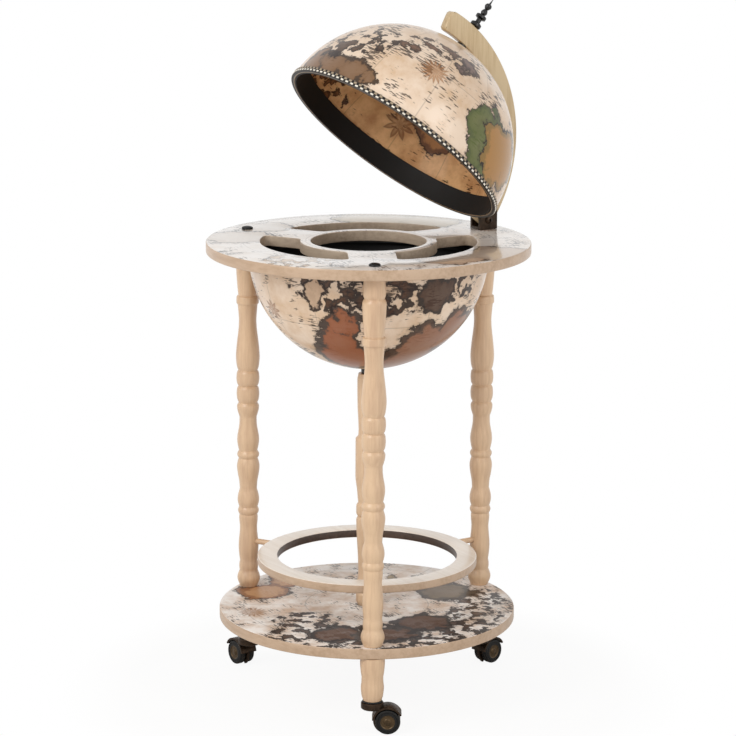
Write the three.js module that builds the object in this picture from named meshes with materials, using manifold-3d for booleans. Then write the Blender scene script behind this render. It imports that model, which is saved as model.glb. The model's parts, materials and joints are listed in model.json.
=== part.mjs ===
// Floor globe bar: a round table with a half globe hung under it and a half globe hinged over it,
// on three turned legs with a lower shelf, a bottle ring, a middle post and three hooded casters.
// Millimetres, +Z up. The hinge and one leg stand towards +Y, and the lid is modelled open.
import * as THREE from 'three';
import { mergeVertices } from 'three/addons/utils/BufferGeometryUtils.js';
import Module from 'manifold-3d';

const wasm = await Module();
wasm.setup();

// Driving dimensions: the globe
const globeRadius = 167;
const globeWall = 4;
const lowerGlobeShortfall = 4;
const lidOpenAngle = THREE.MathUtils.degToRad(40.7);
const lidClearance = 1;

// Driving dimensions: the wooden arc that carries the lid
const arcGap = 8;
const arcWidth = 30;
const arcThickness = 13;
const arcPastPoleAngle = THREE.MathUtils.degToRad(13.5);
const hingeHeight = 14.1;
const pinBehindArcMiddle = 3;

// Driving dimensions: boards, legs and casters
const boardThickness = 15;
const shelfThickness = 15;
const legBehindHinge = 0.5;
const boardMargin = 31.5;
const shelfMargin = 15.5;
const legLength = 509;
const legRadius = 17;
const footLength = 62;
const footRadius = 17;
const casterHeight = 46;

// Driving dimensions: the openings in the table board
const centreHoleRadius = 80;
const centreBandWidth = 15;
const slotMargin = 17;
const spokeWidth = 66;
const slotCornerShare = 0.1;

// Driving dimensions: the bottle ring
const ringInset = 38.5;
const ringWidth = 28;
const ringThickness = 12;
const ringHeight = 62;

// Clearances
const seat = 0.3;
const cutOverrun = 5;
const curveSeat = 0.8;
const liningGap = 0.9;
const hoopGap = 0.8;

// Sizes that follow from the driving dimensions
const globeInner = globeRadius - globeWall;
const arcInner = globeRadius + arcGap;
const arcOuter = arcInner + arcWidth;
const hingeRadius = (arcInner + arcOuter) / 2 + pinBehindArcMiddle;
const legCircle = hingeRadius + legBehindHinge;
const boardRadius = legCircle + boardMargin;
const shelfRadius = legCircle + shelfMargin;
const ringOuter = legCircle - ringInset;
const ringInner = ringOuter - ringWidth;
const footBottom = casterHeight;
const shelfBottom = footBottom + footLength;
const shelfTop = shelfBottom + shelfThickness;
const boardBottom = shelfTop + legLength;
const boardTop = boardBottom + boardThickness;
const pinAboveRim = hingeHeight - lidClearance;

// Facet counts
const globeSegments = 36;
const globeRows = 9;
const boardSegments = 32;
const turnedSegments = 12;
const smallSegments = 12;
const arcSegments = 10;
const slotSegments = 4;
const wheelSegments = 20;

// Leg stations: the direction of each leg from the middle, and the way its caster trails
const stations = [
  { name: 'front', angle: -30, casterAngle: 57.6 },
  { name: 'left', angle: 210, casterAngle: 183.6 },
  { name: 'hinge', angle: 90, casterAngle: 102.6 },
];
const betweenLegs = 360 / stations.length;

// Finishes
const finish = (color, roughness, metalness = 0) =>
  new THREE.MeshStandardMaterial({ color, roughness, metalness });
const lightWood = () => finish('#d8b48a', 0.5);
const printedBoard = () => finish('#e6d8c6', 0.22);
const printedGlobe = () => finish('#e2cfae', 0.25);
const hoopWood = () => finish('#171310', 0.7);
const blackBand = () => finish('#1c1a1a', 0.5);
const checkedBand = () => finish('#8d8579', 0.4);
const darkBronze = () => finish('#3a2a20', 0.4, 0.6);
const blackMetal = () => finish('#17150f', 0.35, 0.5);
const blackPlastic = () => finish('#141414', 0.4);
const bronzeWheel = () => finish('#2b2520', 0.45, 0.2);
const steel = () => finish('#b9bcc0', 0.3, 1);

// Shaping helpers
const xAxis = new THREE.Vector3(1, 0, 0);
const yAxis = new THREE.Vector3(0, 1, 0);
const zAxis = new THREE.Vector3(0, 0, 1);
const standingPlane = new THREE.Matrix4().makeBasis(yAxis, zAxis, xAxis);
const wheelPlane = new THREE.Matrix4().makeBasis(xAxis, zAxis, yAxis.clone().negate());

// A profile of [radius, height] points turned about the vertical axis.
function turned(profile, segments) {
  const points = profile.map(([radius, height]) => new THREE.Vector2(radius, height));
  return new THREE.LatheGeometry(points, segments).rotateX(Math.PI / 2);
}

// A ring between two radii, with its lower face at height 0.
function ringBlank(inner, outer, height, segments) {
  return turned([[inner, 0], [outer, 0], [outer, height], [inner, height], [inner, 0]], segments);
}

// A round bar standing on height 0.
function bar(radius, length, segments = smallSegments) {
  return turned([[0, 0], [radius, 0], [radius, length], [0, length]], segments);
}

// A shape extruded upwards from height 0.
function slab(shape, height, curveSegments) {
  return new THREE.ExtrudeGeometry(shape, { depth: height, bevelEnabled: false, curveSegments });
}

function circlePath(radius, x = 0, y = 0, divisions = smallSegments / 2) {
  return new THREE.Path(new THREE.Path().absarc(x, y, radius, 0, 2 * Math.PI, true).getPoints(divisions));
}

function circleShape(radius) {
  return new THREE.Shape().absarc(0, 0, radius, 0, 2 * Math.PI, false);
}

// A six-sided nut standing on height 0, with its thread hole.
function nut(radius, hole, height) {
  const shape = new THREE.Shape();
  for (let corner = 0; corner < 6; corner += 1) {
    const angle = corner * Math.PI / 3;
    const point = [radius * Math.cos(angle), radius * Math.sin(angle)];
    if (corner === 0) {
      shape.moveTo(...point);
    } else {
      shape.lineTo(...point);
    }
  }
  shape.closePath();
  shape.holes.push(circlePath(hole));
  return slab(shape, height, smallSegments / 2);
}

// A screw with its head at the lower end, standing on height 0.
function screwUp(screw, shank, segments = smallSegments) {
  return turned([
    [0, 0],
    [screw.headRadius, 0],
    [screw.headRadius, screw.headHeight],
    [screw.radius, screw.headHeight],
    [screw.radius, screw.headHeight + shank],
    [0, screw.headHeight + shank],
  ], segments);
}

// A screw with its head at the upper end, standing on height 0.
function screwDown(screw, shank) {
  return turned([
    [0, 0],
    [screw.radius, 0],
    [screw.radius, shank],
    [screw.headRadius, shank],
    [screw.headRadius, shank + screw.headHeight],
    [0, shank + screw.headHeight],
  ], smallSegments);
}

// Manifold solids, for cuts and joins.
function toSolid(geometry) {
  const bare = geometry.clone();
  bare.deleteAttribute('normal');
  bare.deleteAttribute('uv');
  const merged = mergeVertices(bare);
  return new wasm.Manifold(new wasm.Mesh({
    numProp: 3,
    vertProperties: new Float32Array(merged.attributes.position.array),
    triVerts: new Uint32Array(merged.index.array),
  }));
}

function toGeometry(solid) {
  const mesh = solid.getMesh();
  const geometry = new THREE.BufferGeometry();
  geometry.setAttribute('position', new THREE.BufferAttribute(mesh.vertProperties, 3));
  geometry.setIndex(new THREE.BufferAttribute(mesh.triVerts, 1));
  return geometry;
}

function cut(blank, tools) {
  const left = tools.reduce((solid, tool) => solid.subtract(toSolid(tool)), toSolid(blank));
  return toGeometry(left);
}

// The assembly, placed so that its origin is the middle of its footprint on the floor.
const lidCentreY = hingeRadius - hingeRadius * Math.cos(lidOpenAngle) - pinAboveRim * Math.sin(lidOpenAngle);
const footprintMiddle = (lidCentreY + arcOuter - boardRadius) / 2;
const globeBar = new THREE.Group();
const stand = new THREE.Group();
stand.position.y = -footprintMiddle;
globeBar.add(stand);

function add(parent, name, geometry, material, x = 0, y = 0, z = 0) {
  const mesh = new THREE.Mesh(geometry, material);
  mesh.name = name;
  mesh.position.set(x, y, z);
  parent.add(mesh);
  return mesh;
}

// Screws, studs and nuts
const legScrew = { radius: 3, headRadius: 4.6, headHeight: 2, depth: 35, sunk: 3.5 };
const stud = { radius: 4, depth: 22 };
const hoopScrew = { radius: 1.6, headRadius: 3.1, headHeight: 2, depth: 9 };
const hoop = { height: 14, inset: 1 };
const slotOuter = globeRadius - slotMargin;
const hoopInner = slotOuter + hoop.inset;
const hoopOuter = Math.sqrt(globeInner ** 2 - (hoop.height + lowerGlobeShortfall) ** 2) - hoopGap;
const hoopScrewCircle = (hoopInner + hoopOuter) / 2;
const atStations = (radius) => stations.map(({ angle }) => {
  const turn = THREE.MathUtils.degToRad(angle);
  return [radius * Math.cos(turn), radius * Math.sin(turn)];
});
const hoopScrewPlaces = atStations(hoopScrewCircle);
const legPlaces = atStations(legCircle);

// Hinge bracket sizes
const washer = { thickness: 0.8, radius: 9 };
const bracket = {
  gap: arcThickness + 2 * (washer.thickness + 2 * seat),
  cheek: 4.4,
  height: 34,
  plate: 4,
  cornerRadius: 4,
  depth: arcWidth - 1,
};
const bracketWidth = bracket.gap + 2 * bracket.cheek;
const bracketScrew = { radius: 1.5, headRadius: 2.7, headHeight: 1.6, depth: 10, edge: 4.5 };
const bracketScrewY = bracketScrew.edge - bracket.depth / 2;
const hingeBolt = { radius: 3, headRadius: 5.5, headHeight: 3.5, nutRadius: 5.8, nutHeight: 4.5, spare: 2 };

// One kidney slot between two spokes, its corners eased, centred on the direction given.
function kidneySlot(direction) {
  const slotInner = centreHoleRadius + centreBandWidth;
  const spread = Math.PI / stations.length;
  const innerSpread = spread - Math.asin(spokeWidth / 2 / slotInner);
  const outerSpread = spread - Math.asin(spokeWidth / 2 / slotOuter);
  const ease = slotCornerShare * outerSpread;
  const at = (radius, angle) => [radius * Math.cos(angle), radius * Math.sin(angle)];
  const alongSide = (share, side) => {
    const [innerX, innerY] = at(slotInner, direction + side * innerSpread);
    const [outerX, outerY] = at(slotOuter, direction + side * outerSpread);
    return [innerX + share * (outerX - innerX), innerY + share * (outerY - innerY)];
  };
  const easeShare = 2 * slotCornerShare;
  const path = new THREE.Path();
  path.moveTo(...at(slotOuter, direction - outerSpread + ease));
  path.absarc(0, 0, slotOuter, direction - outerSpread + ease, direction + outerSpread - ease, false);
  path.quadraticCurveTo(...at(slotOuter, direction + outerSpread), ...alongSide(1 - easeShare, 1));
  path.lineTo(...alongSide(easeShare, 1));
  path.quadraticCurveTo(
    ...at(slotInner, direction + innerSpread),
    ...at(slotInner, direction + innerSpread - ease),
  );
  path.absarc(0, 0, slotInner, direction + innerSpread - ease, direction - innerSpread + ease, true);
  path.quadraticCurveTo(...at(slotInner, direction - innerSpread), ...alongSide(easeShare, -1));
  path.lineTo(...alongSide(1 - easeShare, -1));
  path.quadraticCurveTo(
    ...at(slotOuter, direction - outerSpread),
    ...at(slotOuter, direction - outerSpread + ease),
  );
  return path;
}

// Table board: centre hole, three kidney slots, screw holes from above and below
function tableTop() {
  const shape = circleShape(boardRadius);
  shape.holes.push(circlePath(centreHoleRadius, 0, 0, boardSegments - smallSegments / 2));
  for (const { angle } of stations) {
    const direction = THREE.MathUtils.degToRad(angle + betweenLegs / 2);
    shape.holes.push(new THREE.Path(kidneySlot(direction).getPoints(slotSegments)));
  }
  const board = slab(shape, boardThickness, boardSegments);
  const through = bar(legScrew.radius + seat, boardThickness + 2 * cutOverrun).translate(0, 0, -cutOverrun);
  const sinking = bar(legScrew.headRadius + seat, legScrew.sunk + cutOverrun)
    .translate(0, 0, boardThickness - legScrew.sunk);
  const tools = [];
  stations.forEach(({ name }, index) => {
    const [x, y] = legPlaces[index];
    tools.push(through.clone().translate(x, y, 0));
    if (name !== 'hinge') {
      tools.push(sinking.clone().translate(x, y, 0));
    }
  });
  const hoopHole = bar(hoopScrew.radius + seat, hoopScrew.depth + cutOverrun + seat, smallSegments / 2)
    .translate(0, 0, -cutOverrun);
  for (const [x, y] of hoopScrewPlaces) {
    tools.push(hoopHole.clone().translate(x, y, 0));
  }
  const bracketHole = bar(bracketScrew.radius + seat, bracketScrew.depth + cutOverrun, smallSegments / 2)
    .translate(0, 0, boardThickness - bracketScrew.depth);
  tools.push(bracketHole.translate(0, hingeRadius + bracketScrewY, 0));
  return cut(board, tools);
}
add(stand, 'table_top', tableTop(), printedBoard(), 0, 0, boardBottom);

// Shelf: a plain round board with the stud holes and the post's screw hole
const columnScrew = { radius: 3, headRadius: 6, headHeight: 3, depth: 25 };
const shelfShape = circleShape(shelfRadius);
shelfShape.holes.push(circlePath(columnScrew.radius + seat));
for (const [x, y] of legPlaces) {
  shelfShape.holes.push(circlePath(stud.radius + seat, x, y));
}
add(stand, 'shelf', slab(shelfShape, shelfThickness, boardSegments), printedBoard(), 0, 0, shelfBottom);

// Half globe shell turned about its axis, with a hole at the pole. It starts a little over its equator
// by the height given, and its centre is at height 0.
function halfShell(poleHole, rimHeight) {
  const meridian = (radius) => {
    const start = Math.asin(rimHeight / radius);
    const end = Math.acos(poleHole / radius);
    return Array.from({ length: globeRows + 1 }, (_, row) => {
      const angle = start + (end - start) * row / globeRows;
      return [radius * Math.cos(angle), radius * Math.sin(angle)];
    });
  };
  const outer = meridian(globeRadius);
  const inner = meridian(globeInner);
  return turned([...outer, ...inner.reverse(), outer[0]], globeSegments);
}

// Lower globe, its hoop and the hoop's screws
const lowerRim = boardBottom - seat;
const lowerCentre = lowerRim + lowerGlobeShortfall;
const lowerGlobe = halfShell(stud.radius + seat, lowerGlobeShortfall).rotateX(Math.PI);
add(stand, 'lower_globe', lowerGlobe, printedGlobe(), 0, 0, lowerCentre);

const hoopHoles = hoopScrewPlaces.map(([x, y]) =>
  bar(hoopScrew.radius + seat, hoop.height + 2 * cutOverrun, smallSegments / 2).translate(x, y, -cutOverrun));
const hoopGeometry = cut(ringBlank(hoopInner, hoopOuter, hoop.height, globeSegments), hoopHoles);
add(stand, 'lower_globe_hoop', hoopGeometry, hoopWood(), 0, 0, lowerRim - hoop.height);

const hoopScrewShank = 2 * seat + hoop.height + hoopScrew.depth;
const hoopScrewGeometry = screwUp(hoopScrew, hoopScrewShank, smallSegments / 2);
const hoopScrewBottom = lowerRim - hoop.height - seat - hoopScrew.headHeight;
stations.forEach(({ name }, index) => {
  const [x, y] = hoopScrewPlaces[index];
  add(stand, `hoop_screw_${name}`, hoopScrewGeometry, steel(), x, y, hoopScrewBottom);
});

// Bottle ring with its three pegs, whose sockets are sunk into ring and legs
const peg = { radius: 4, ringDepth: 9, legDepth: 11 };
const pegHeight = shelfTop + ringHeight + ringThickness / 2;
const pegSockets = stations.map(({ angle }) =>
  bar(peg.radius + seat, peg.ringDepth + cutOverrun)
    .rotateY(Math.PI / 2)
    .translate(ringOuter - peg.ringDepth, 0, ringThickness / 2)
    .rotateZ(THREE.MathUtils.degToRad(angle)));
const ringGeometry = cut(ringBlank(ringInner, ringOuter, ringThickness, 2 * boardSegments), pegSockets);
add(stand, 'bottle_ring', ringGeometry, printedBoard(), 0, 0, shelfTop + ringHeight);

// Turned outlines, from the lower end up: share of the length, share of the widest radius
const legShares = [
  [0, 0.74], [0.024, 0.965], [0.046, 0.765], [0.06, 0.8], [0.075, 0.735], [0.118, 0.845],
  [0.173, 0.725], [0.202, 0.79], [0.211, 0.755], [0.222, 0.885], [0.233, 0.78], [0.255, 0.915],
  [0.286, 0.72], [0.307, 0.765],
  [0.329, 0.885], [0.352, 0.955], [0.375, 0.8], [0.386, 0.93], [0.397, 0.775], [0.43, 0.93],
  [0.477, 0.73], [0.495, 0.72], [0.525, 0.93], [0.536, 0.78], [0.549, 0.925], [0.562, 0.955],
  [0.576, 0.92], [0.584, 0.79], [0.594, 0.93], [0.607, 0.965], [0.621, 0.93], [0.629, 0.81],
  [0.644, 0.94], [0.668, 1], [0.698, 0.94], [0.77, 0.73], [0.802, 0.79], [0.817, 0.84],
  [0.822, 0.94], [0.839, 0.92], [0.843, 0.775], [0.908, 0.93], [0.931, 0.955], [0.944, 0.79],
  [0.956, 0.905], [1, 0.835],
];
const footShares = [
  [0, 0.74], [0.1, 0.86], [0.3, 0.93], [0.42, 0.88], [0.54, 0.87], [0.72, 0.96], [0.88, 1], [1, 0.97],
];
const columnShares = [
  [0, 0.78], [0.02, 0.92], [0.045, 0.92], [0.06, 0.73], [0.075, 0.84], [0.15, 0.73], [0.37, 0.92],
  [0.385, 0.78], [0.4, 0.92], [0.43, 0.92], [0.445, 0.76], [0.5, 0.86], [0.56, 1], [0.72, 1],
  [0.735, 0.78], [0.76, 0.75], [0.8, 0.78], [0.85, 0.84], [0.93, 0.87], [0.975, 0.87], [1, 0.78],
];

// A turned post with a blind hole in each end, standing on height 0
function post(shares, length, radius, lowHole, highHole) {
  const outline = shares.map(([heightShare, radiusShare]) => [radius * radiusShare, length * heightShare]);
  return turned([
    [0, lowHole.depth],
    [lowHole.radius, lowHole.depth],
    [lowHole.radius, 0],
    ...outline,
    [highHole.radius, length],
    [highHole.radius, length - highHole.depth],
    [0, length - highHole.depth],
  ], turnedSegments);
}

const socket = ({ radius, depth }) => ({ radius: radius + seat, depth: depth + seat });

// Post in the middle, with its collar, the bolt down through the globe and the screw up through the shelf
const collar = { radius: 9.7, height: 9 };
const columnBolt = { radius: stud.radius, headRadius: 7.5, headHeight: 4, depth: 25 };
const columnRadius = 17;
const southPole = lowerCentre - globeRadius;
const southPoleInside = lowerCentre - globeInner;
const collarBottom = southPole - seat - collar.height;
const columnBottom = shelfTop + seat;
const columnLength = collarBottom - seat - columnBottom;
const columnGeometry = post(columnShares, columnLength, columnRadius, socket(columnScrew), socket(columnBolt));
add(stand, 'column', columnGeometry, lightWood(), 0, 0, columnBottom);
const collarGeometry = ringBlank(stud.radius + seat, collar.radius, collar.height, turnedSegments);
add(stand, 'column_collar', collarGeometry, blackMetal(), 0, 0, collarBottom);
const columnBoltBottom = columnBottom + columnLength - columnBolt.depth;
const columnBoltShank = southPoleInside + curveSeat - columnBoltBottom;
add(stand, 'column_bolt', screwDown(columnBolt, columnBoltShank), steel(), 0, 0, columnBoltBottom);

const columnScrewShank = shelfThickness + 2 * seat + columnScrew.depth;
add(stand, 'column_screw', screwUp(columnScrew, columnScrewShank), steel(),
  0, 0, shelfBottom - seat - columnScrew.headHeight);

// Caster sizes
const wheel = { radius: 17.5, width: 9.6, edge: 1.6 };
const web = { half: 2, gap: 0.6 };
const hood = { gap: 1.5, thickness: 2.5, fromAngle: 28, toAngle: 172, side: 0.7 };
const casterStem = { radius: stud.radius, depth: 20, flangeRadius: 13.5, flange: 2, pin: 7 };
const boss = { radius: 15.6, height: 9.5 };
const axle = { radius: 2.5, end: 1.4, hubRadius: 6 };
const casterTrail = 21;
const hoodInner = wheel.radius + hood.gap;
const hoodOuter = hoodInner + hood.thickness;
const hoodHalf = web.half + web.gap + wheel.width + hood.side;

// Caster body: boss bored for the stem's pin, hood over both wheels and the web between them.
// Its swivel axis is local Z, and it trails towards local +X.
function casterBody(bossTop) {
  const fromAngle = THREE.MathUtils.degToRad(hood.fromAngle);
  const toAngle = THREE.MathUtils.degToRad(hood.toAngle);
  const hoodShape = new THREE.Shape();
  hoodShape.absarc(0, 0, hoodOuter, fromAngle, toAngle, false);
  hoodShape.absarc(0, 0, wheel.radius, toAngle, fromAngle, true);
  hoodShape.closePath();
  const hoodBlank = slab(hoodShape, 2 * hoodHalf, smallSegments / 2)
    .translate(0, 0, -hoodHalf)
    .applyMatrix4(wheelPlane)
    .translate(casterTrail, 0, wheel.radius);
  const bossBlank = bar(boss.radius, boss.height, wheelSegments).translate(0, 0, bossTop - boss.height);
  const wheelRoom = bar(hoodInner, 2 * hoodHalf + 2 * cutOverrun, 2 * wheelSegments)
    .translate(0, 0, -hoodHalf - cutOverrun)
    .applyMatrix4(wheelPlane)
    .translate(casterTrail, 0, wheel.radius);
  const webShape = new THREE.Shape();
  webShape.absarc(0, 0, hoodInner + seat, fromAngle, toAngle, false);
  webShape.absarc(0, 0, axle.hubRadius, toAngle, fromAngle + 2 * Math.PI, false);
  webShape.closePath();
  const webBlank = slab(webShape, 2 * web.half, smallSegments / 2)
    .translate(0, 0, -web.half)
    .applyMatrix4(wheelPlane)
    .translate(casterTrail, 0, wheel.radius);
  const axleHole = bar(axle.radius + seat, 2 * hoodHalf, smallSegments)
    .translate(0, 0, -hoodHalf)
    .applyMatrix4(wheelPlane)
    .translate(casterTrail, 0, wheel.radius);
  const pinHole = bar(casterStem.radius + seat, casterStem.pin + cutOverrun)
    .translate(0, 0, bossTop - casterStem.pin);
  const shell = toSolid(hoodBlank).add(toSolid(bossBlank)).subtract(toSolid(wheelRoom));
  const whole = shell.add(toSolid(webBlank));
  return toGeometry(whole.subtract(toSolid(axleHole)).subtract(toSolid(pinHole)));
}

// Stem with its flange under the foot: height 0 is the flange's lower face
const casterStemGeometry = () => turned([
  [0, -casterStem.pin],
  [casterStem.radius, -casterStem.pin],
  [casterStem.radius, 0],
  [casterStem.flangeRadius, 0],
  [casterStem.flangeRadius, casterStem.flange],
  [casterStem.radius, casterStem.flange],
  [casterStem.radius, casterStem.flange + seat + casterStem.depth],
  [0, casterStem.flange + seat + casterStem.depth],
], smallSegments);

// A wheel turned about its own axle, its closed face outwards, standing on height 0
const wheelGeometry = () => turned([
  [0, wheel.width - axle.end],
  [axle.radius + seat, wheel.width - axle.end],
  [axle.radius + seat, 0],
  [wheel.radius, 0],
  [wheel.radius, wheel.width - wheel.edge],
  [wheel.radius - wheel.edge, wheel.width],
  [0, wheel.width],
], wheelSegments);

// Legs, feet, studs, screws, pegs and casters, once for each station
const legBottom = shelfTop + seat;
const legNet = legLength - 2 * seat;
const footNet = footLength - 2 * seat;
const pegTip = peg.legDepth - legRadius;
const screwBottom = boardBottom - seat - legScrew.depth;
for (const { name, angle, casterAngle } of stations) {
  const station = new THREE.Group();
  const turn = THREE.MathUtils.degToRad(angle);
  station.rotation.z = turn;
  station.position.set(legCircle * Math.cos(turn), legCircle * Math.sin(turn), 0);
  stand.add(station);

  const legBlank = post(legShares, legNet, legRadius, socket(stud), socket(legScrew));
  const pegHole = bar(peg.radius + seat, legRadius)
    .rotateY(Math.PI / 2)
    .translate(pegTip - legRadius, 0, pegHeight - legBottom);
  add(station, `leg_${name}`, cut(legBlank, [pegHole]), lightWood(), 0, 0, legBottom);

  const pegStart = ringOuter - peg.ringDepth + seat - legCircle;
  const pegLength = pegTip - seat - pegStart;
  const pegGeometry = bar(peg.radius, pegLength).rotateY(Math.PI / 2).translate(pegStart, 0, 0);
  add(station, `ring_peg_${name}`, pegGeometry, lightWood(), 0, 0, pegHeight);

  const screwSeat = name === 'hinge'
    ? boardTop + bracket.plate - legScrew.headHeight
    : boardTop + seat - legScrew.sunk;
  const screwGeometry = screwDown(legScrew, screwSeat - screwBottom);
  add(station, `leg_screw_${name}`, screwGeometry, steel(), 0, 0, screwBottom);

  const footGeometry = post(footShares, footNet, footRadius, socket(casterStem), socket(stud));
  add(station, `foot_${name}`, footGeometry, lightWood(), 0, 0, footBottom + seat);
  const studLength = 2 * stud.depth + shelfThickness + 2 * seat;
  add(station, `stud_${name}`, bar(stud.radius, studLength), steel(), 0, 0, shelfBottom - seat - stud.depth);

  const flangeBottom = footBottom - casterStem.flange;
  add(station, `caster_stem_${name}`, casterStemGeometry(), blackMetal(), 0, 0, flangeBottom);

  const caster = new THREE.Group();
  caster.rotation.z = THREE.MathUtils.degToRad(casterAngle) - turn;
  station.add(caster);
  add(caster, `caster_body_${name}`, casterBody(flangeBottom - seat), blackPlastic());
  const axleHalf = web.half + web.gap + wheel.width - axle.end - seat;
  const axleGeometry = bar(axle.radius, 2 * axleHalf)
    .translate(0, 0, -axleHalf)
    .applyMatrix4(wheelPlane);
  add(caster, `caster_axle_${name}`, axleGeometry, steel(), casterTrail, 0, wheel.radius);
  const wheelOffset = web.half + web.gap;
  const nearWheel = wheelGeometry().translate(0, 0, wheelOffset).applyMatrix4(wheelPlane);
  const farWheel = nearWheel.clone().rotateZ(Math.PI);
  add(caster, `wheel_near_${name}`, nearWheel, bronzeWheel(), casterTrail, 0, wheel.radius);
  add(caster, `wheel_far_${name}`, farWheel, bronzeWheel(), casterTrail, 0, wheel.radius);
}

// Caps over the leg screws, where the hinge bracket doesn't cover them
const cap = { radius: 8, rim: 1.6, height: 4 };
const capProfile = [
  [0, 0],
  [cap.radius, 0],
  [cap.radius, cap.rim],
  [cap.radius * Math.SQRT1_2, cap.rim + (cap.height - cap.rim) * Math.SQRT1_2],
  [0, cap.height],
];
stations.forEach(({ name }, index) => {
  if (name !== 'hinge') {
    const [x, y] = legPlaces[index];
    add(stand, `cap_${name}`, turned(capProfile, smallSegments), blackPlastic(), x, y, boardTop + seat);
  }
});

// Hinge bracket: base plate and two cheeks, bored for the bolt, its own screw and the leg's screw
const bracketBase = boardTop + seat;
const pinHeight = boardTop + hingeHeight;
function bracketGeometry() {
  const outerX = bracketWidth / 2;
  const innerX = bracket.gap / 2;
  const half = bracket.depth / 2;
  const reach = half + cutOverrun;
  const channelShape = new THREE.Shape();
  channelShape.moveTo(-outerX, 0);
  channelShape.lineTo(outerX, 0);
  channelShape.lineTo(outerX, bracket.height + cutOverrun);
  channelShape.lineTo(innerX, bracket.height + cutOverrun);
  channelShape.lineTo(innerX, bracket.plate);
  channelShape.lineTo(-innerX, bracket.plate);
  channelShape.lineTo(-innerX, bracket.height + cutOverrun);
  channelShape.lineTo(-outerX, bracket.height + cutOverrun);
  channelShape.closePath();
  const channel = slab(channelShape, 2 * reach).translate(0, 0, -reach).applyMatrix4(wheelPlane);
  const corner = half - bracket.cornerRadius;
  const cornerHeight = bracket.height - bracket.cornerRadius;
  const sideShape = new THREE.Shape();
  sideShape.moveTo(-half, -cutOverrun);
  sideShape.lineTo(half, -cutOverrun);
  sideShape.absarc(corner, cornerHeight, bracket.cornerRadius, 0, Math.PI / 2, false);
  sideShape.absarc(-corner, cornerHeight, bracket.cornerRadius, Math.PI / 2, Math.PI, false);
  sideShape.closePath();
  sideShape.holes.push(circlePath(hingeBolt.radius + seat, 0, pinHeight - bracketBase));
  const side = slab(sideShape, 2 * (outerX + cutOverrun), smallSegments / 2)
    .translate(0, 0, -outerX - cutOverrun)
    .applyMatrix4(standingPlane);
  const blank = toGeometry(toSolid(channel).intersect(toSolid(side)));
  const screwRoom = turned([
    [0, -cutOverrun],
    [bracketScrew.radius + seat, -cutOverrun],
    [bracketScrew.radius + seat, bracket.plate - bracketScrew.headHeight - seat],
    [bracketScrew.headRadius + seat, bracket.plate - seat],
    [bracketScrew.headRadius + seat, bracket.plate + cutOverrun / 2],
    [0, bracket.plate + cutOverrun / 2],
  ], smallSegments).translate(0, bracketScrewY, 0);
  const headSeat = bracket.plate - legScrew.headHeight - 2 * seat;
  const legScrewRoom = turned([
    [0, -cutOverrun],
    [legScrew.radius + seat, -cutOverrun],
    [legScrew.radius + seat, headSeat],
    [legScrew.headRadius + seat, headSeat],
    [legScrew.headRadius + seat, bracket.plate + cutOverrun],
    [0, bracket.plate + cutOverrun],
  ], smallSegments).translate(0, legBehindHinge, 0);
  return cut(blank, [screwRoom, legScrewRoom]);
}
add(stand, 'hinge_bracket', bracketGeometry(), darkBronze(), 0, hingeRadius, bracketBase);

const bracketScrewTop = bracket.plate - seat;
const bracketScrewProfile = [
  [0, bracketScrewTop - bracketScrew.headHeight - bracketScrew.depth],
  [bracketScrew.radius, bracketScrewTop - bracketScrew.headHeight - bracketScrew.depth],
  [bracketScrew.radius, bracketScrewTop - bracketScrew.headHeight],
  [bracketScrew.headRadius, bracketScrewTop - seat],
  [bracketScrew.headRadius, bracketScrewTop],
  [0, bracketScrewTop],
];
add(stand, 'bracket_screw', turned(bracketScrewProfile, smallSegments), darkBronze(),
  0, hingeRadius + bracketScrewY, bracketBase);

// Hinge bolt, nut and friction washers, all turned about the pin's axis
const cheekOutside = bracket.gap / 2 + bracket.cheek + seat;
const nutOutside = cheekOutside + hingeBolt.nutHeight;
const alongPin = (geometry) => geometry.rotateY(Math.PI / 2);
const boltTail = nutOutside + hingeBolt.spare;
const boltGeometry = alongPin(turned([
  [0, -boltTail],
  [hingeBolt.radius, -boltTail],
  [hingeBolt.radius, cheekOutside],
  [hingeBolt.headRadius, cheekOutside],
  [hingeBolt.headRadius, cheekOutside + hingeBolt.headHeight / 2],
  [hingeBolt.headRadius / 2, cheekOutside + hingeBolt.headHeight],
  [0, cheekOutside + hingeBolt.headHeight],
], wheelSegments));
add(stand, 'hinge_bolt', boltGeometry, darkBronze(), 0, hingeRadius, pinHeight);
const hingeNut = alongPin(nut(hingeBolt.nutRadius, hingeBolt.radius + seat, hingeBolt.nutHeight)
  .translate(0, 0, -nutOutside));
add(stand, 'hinge_nut', hingeNut, darkBronze(), 0, hingeRadius, pinHeight);
const washerBlank = () => ringBlank(hingeBolt.radius + seat, washer.radius, washer.thickness, wheelSegments);
const washerStart = arcThickness / 2 + seat;
add(stand, 'friction_washer_right', alongPin(washerBlank().translate(0, 0, washerStart)), steel(),
  0, hingeRadius, pinHeight);
add(stand, 'friction_washer_left', alongPin(washerBlank().translate(0, 0, -washerStart - washer.thickness)),
  steel(), 0, hingeRadius, pinHeight);

// Lid: everything below is placed as if the lid were shut, then turned open about the pin
const lidPivot = new THREE.Group();
lidPivot.position.set(0, hingeRadius, pinHeight);
lidPivot.rotation.x = -lidOpenAngle;
stand.add(lidPivot);
const lid = new THREE.Group();
lid.position.set(0, -hingeRadius, -pinAboveRim);
lidPivot.add(lid);

// The direction of a point on the hinge-side meridian, by its height angle over the rim
const onMeridian = (radius, angle) => [0, radius * Math.cos(angle), radius * Math.sin(angle)];
const rimScrew = { radius: 2, headRadius: 4, headHeight: 2.5, depth: 14, angle: THREE.MathUtils.degToRad(18) };
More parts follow.
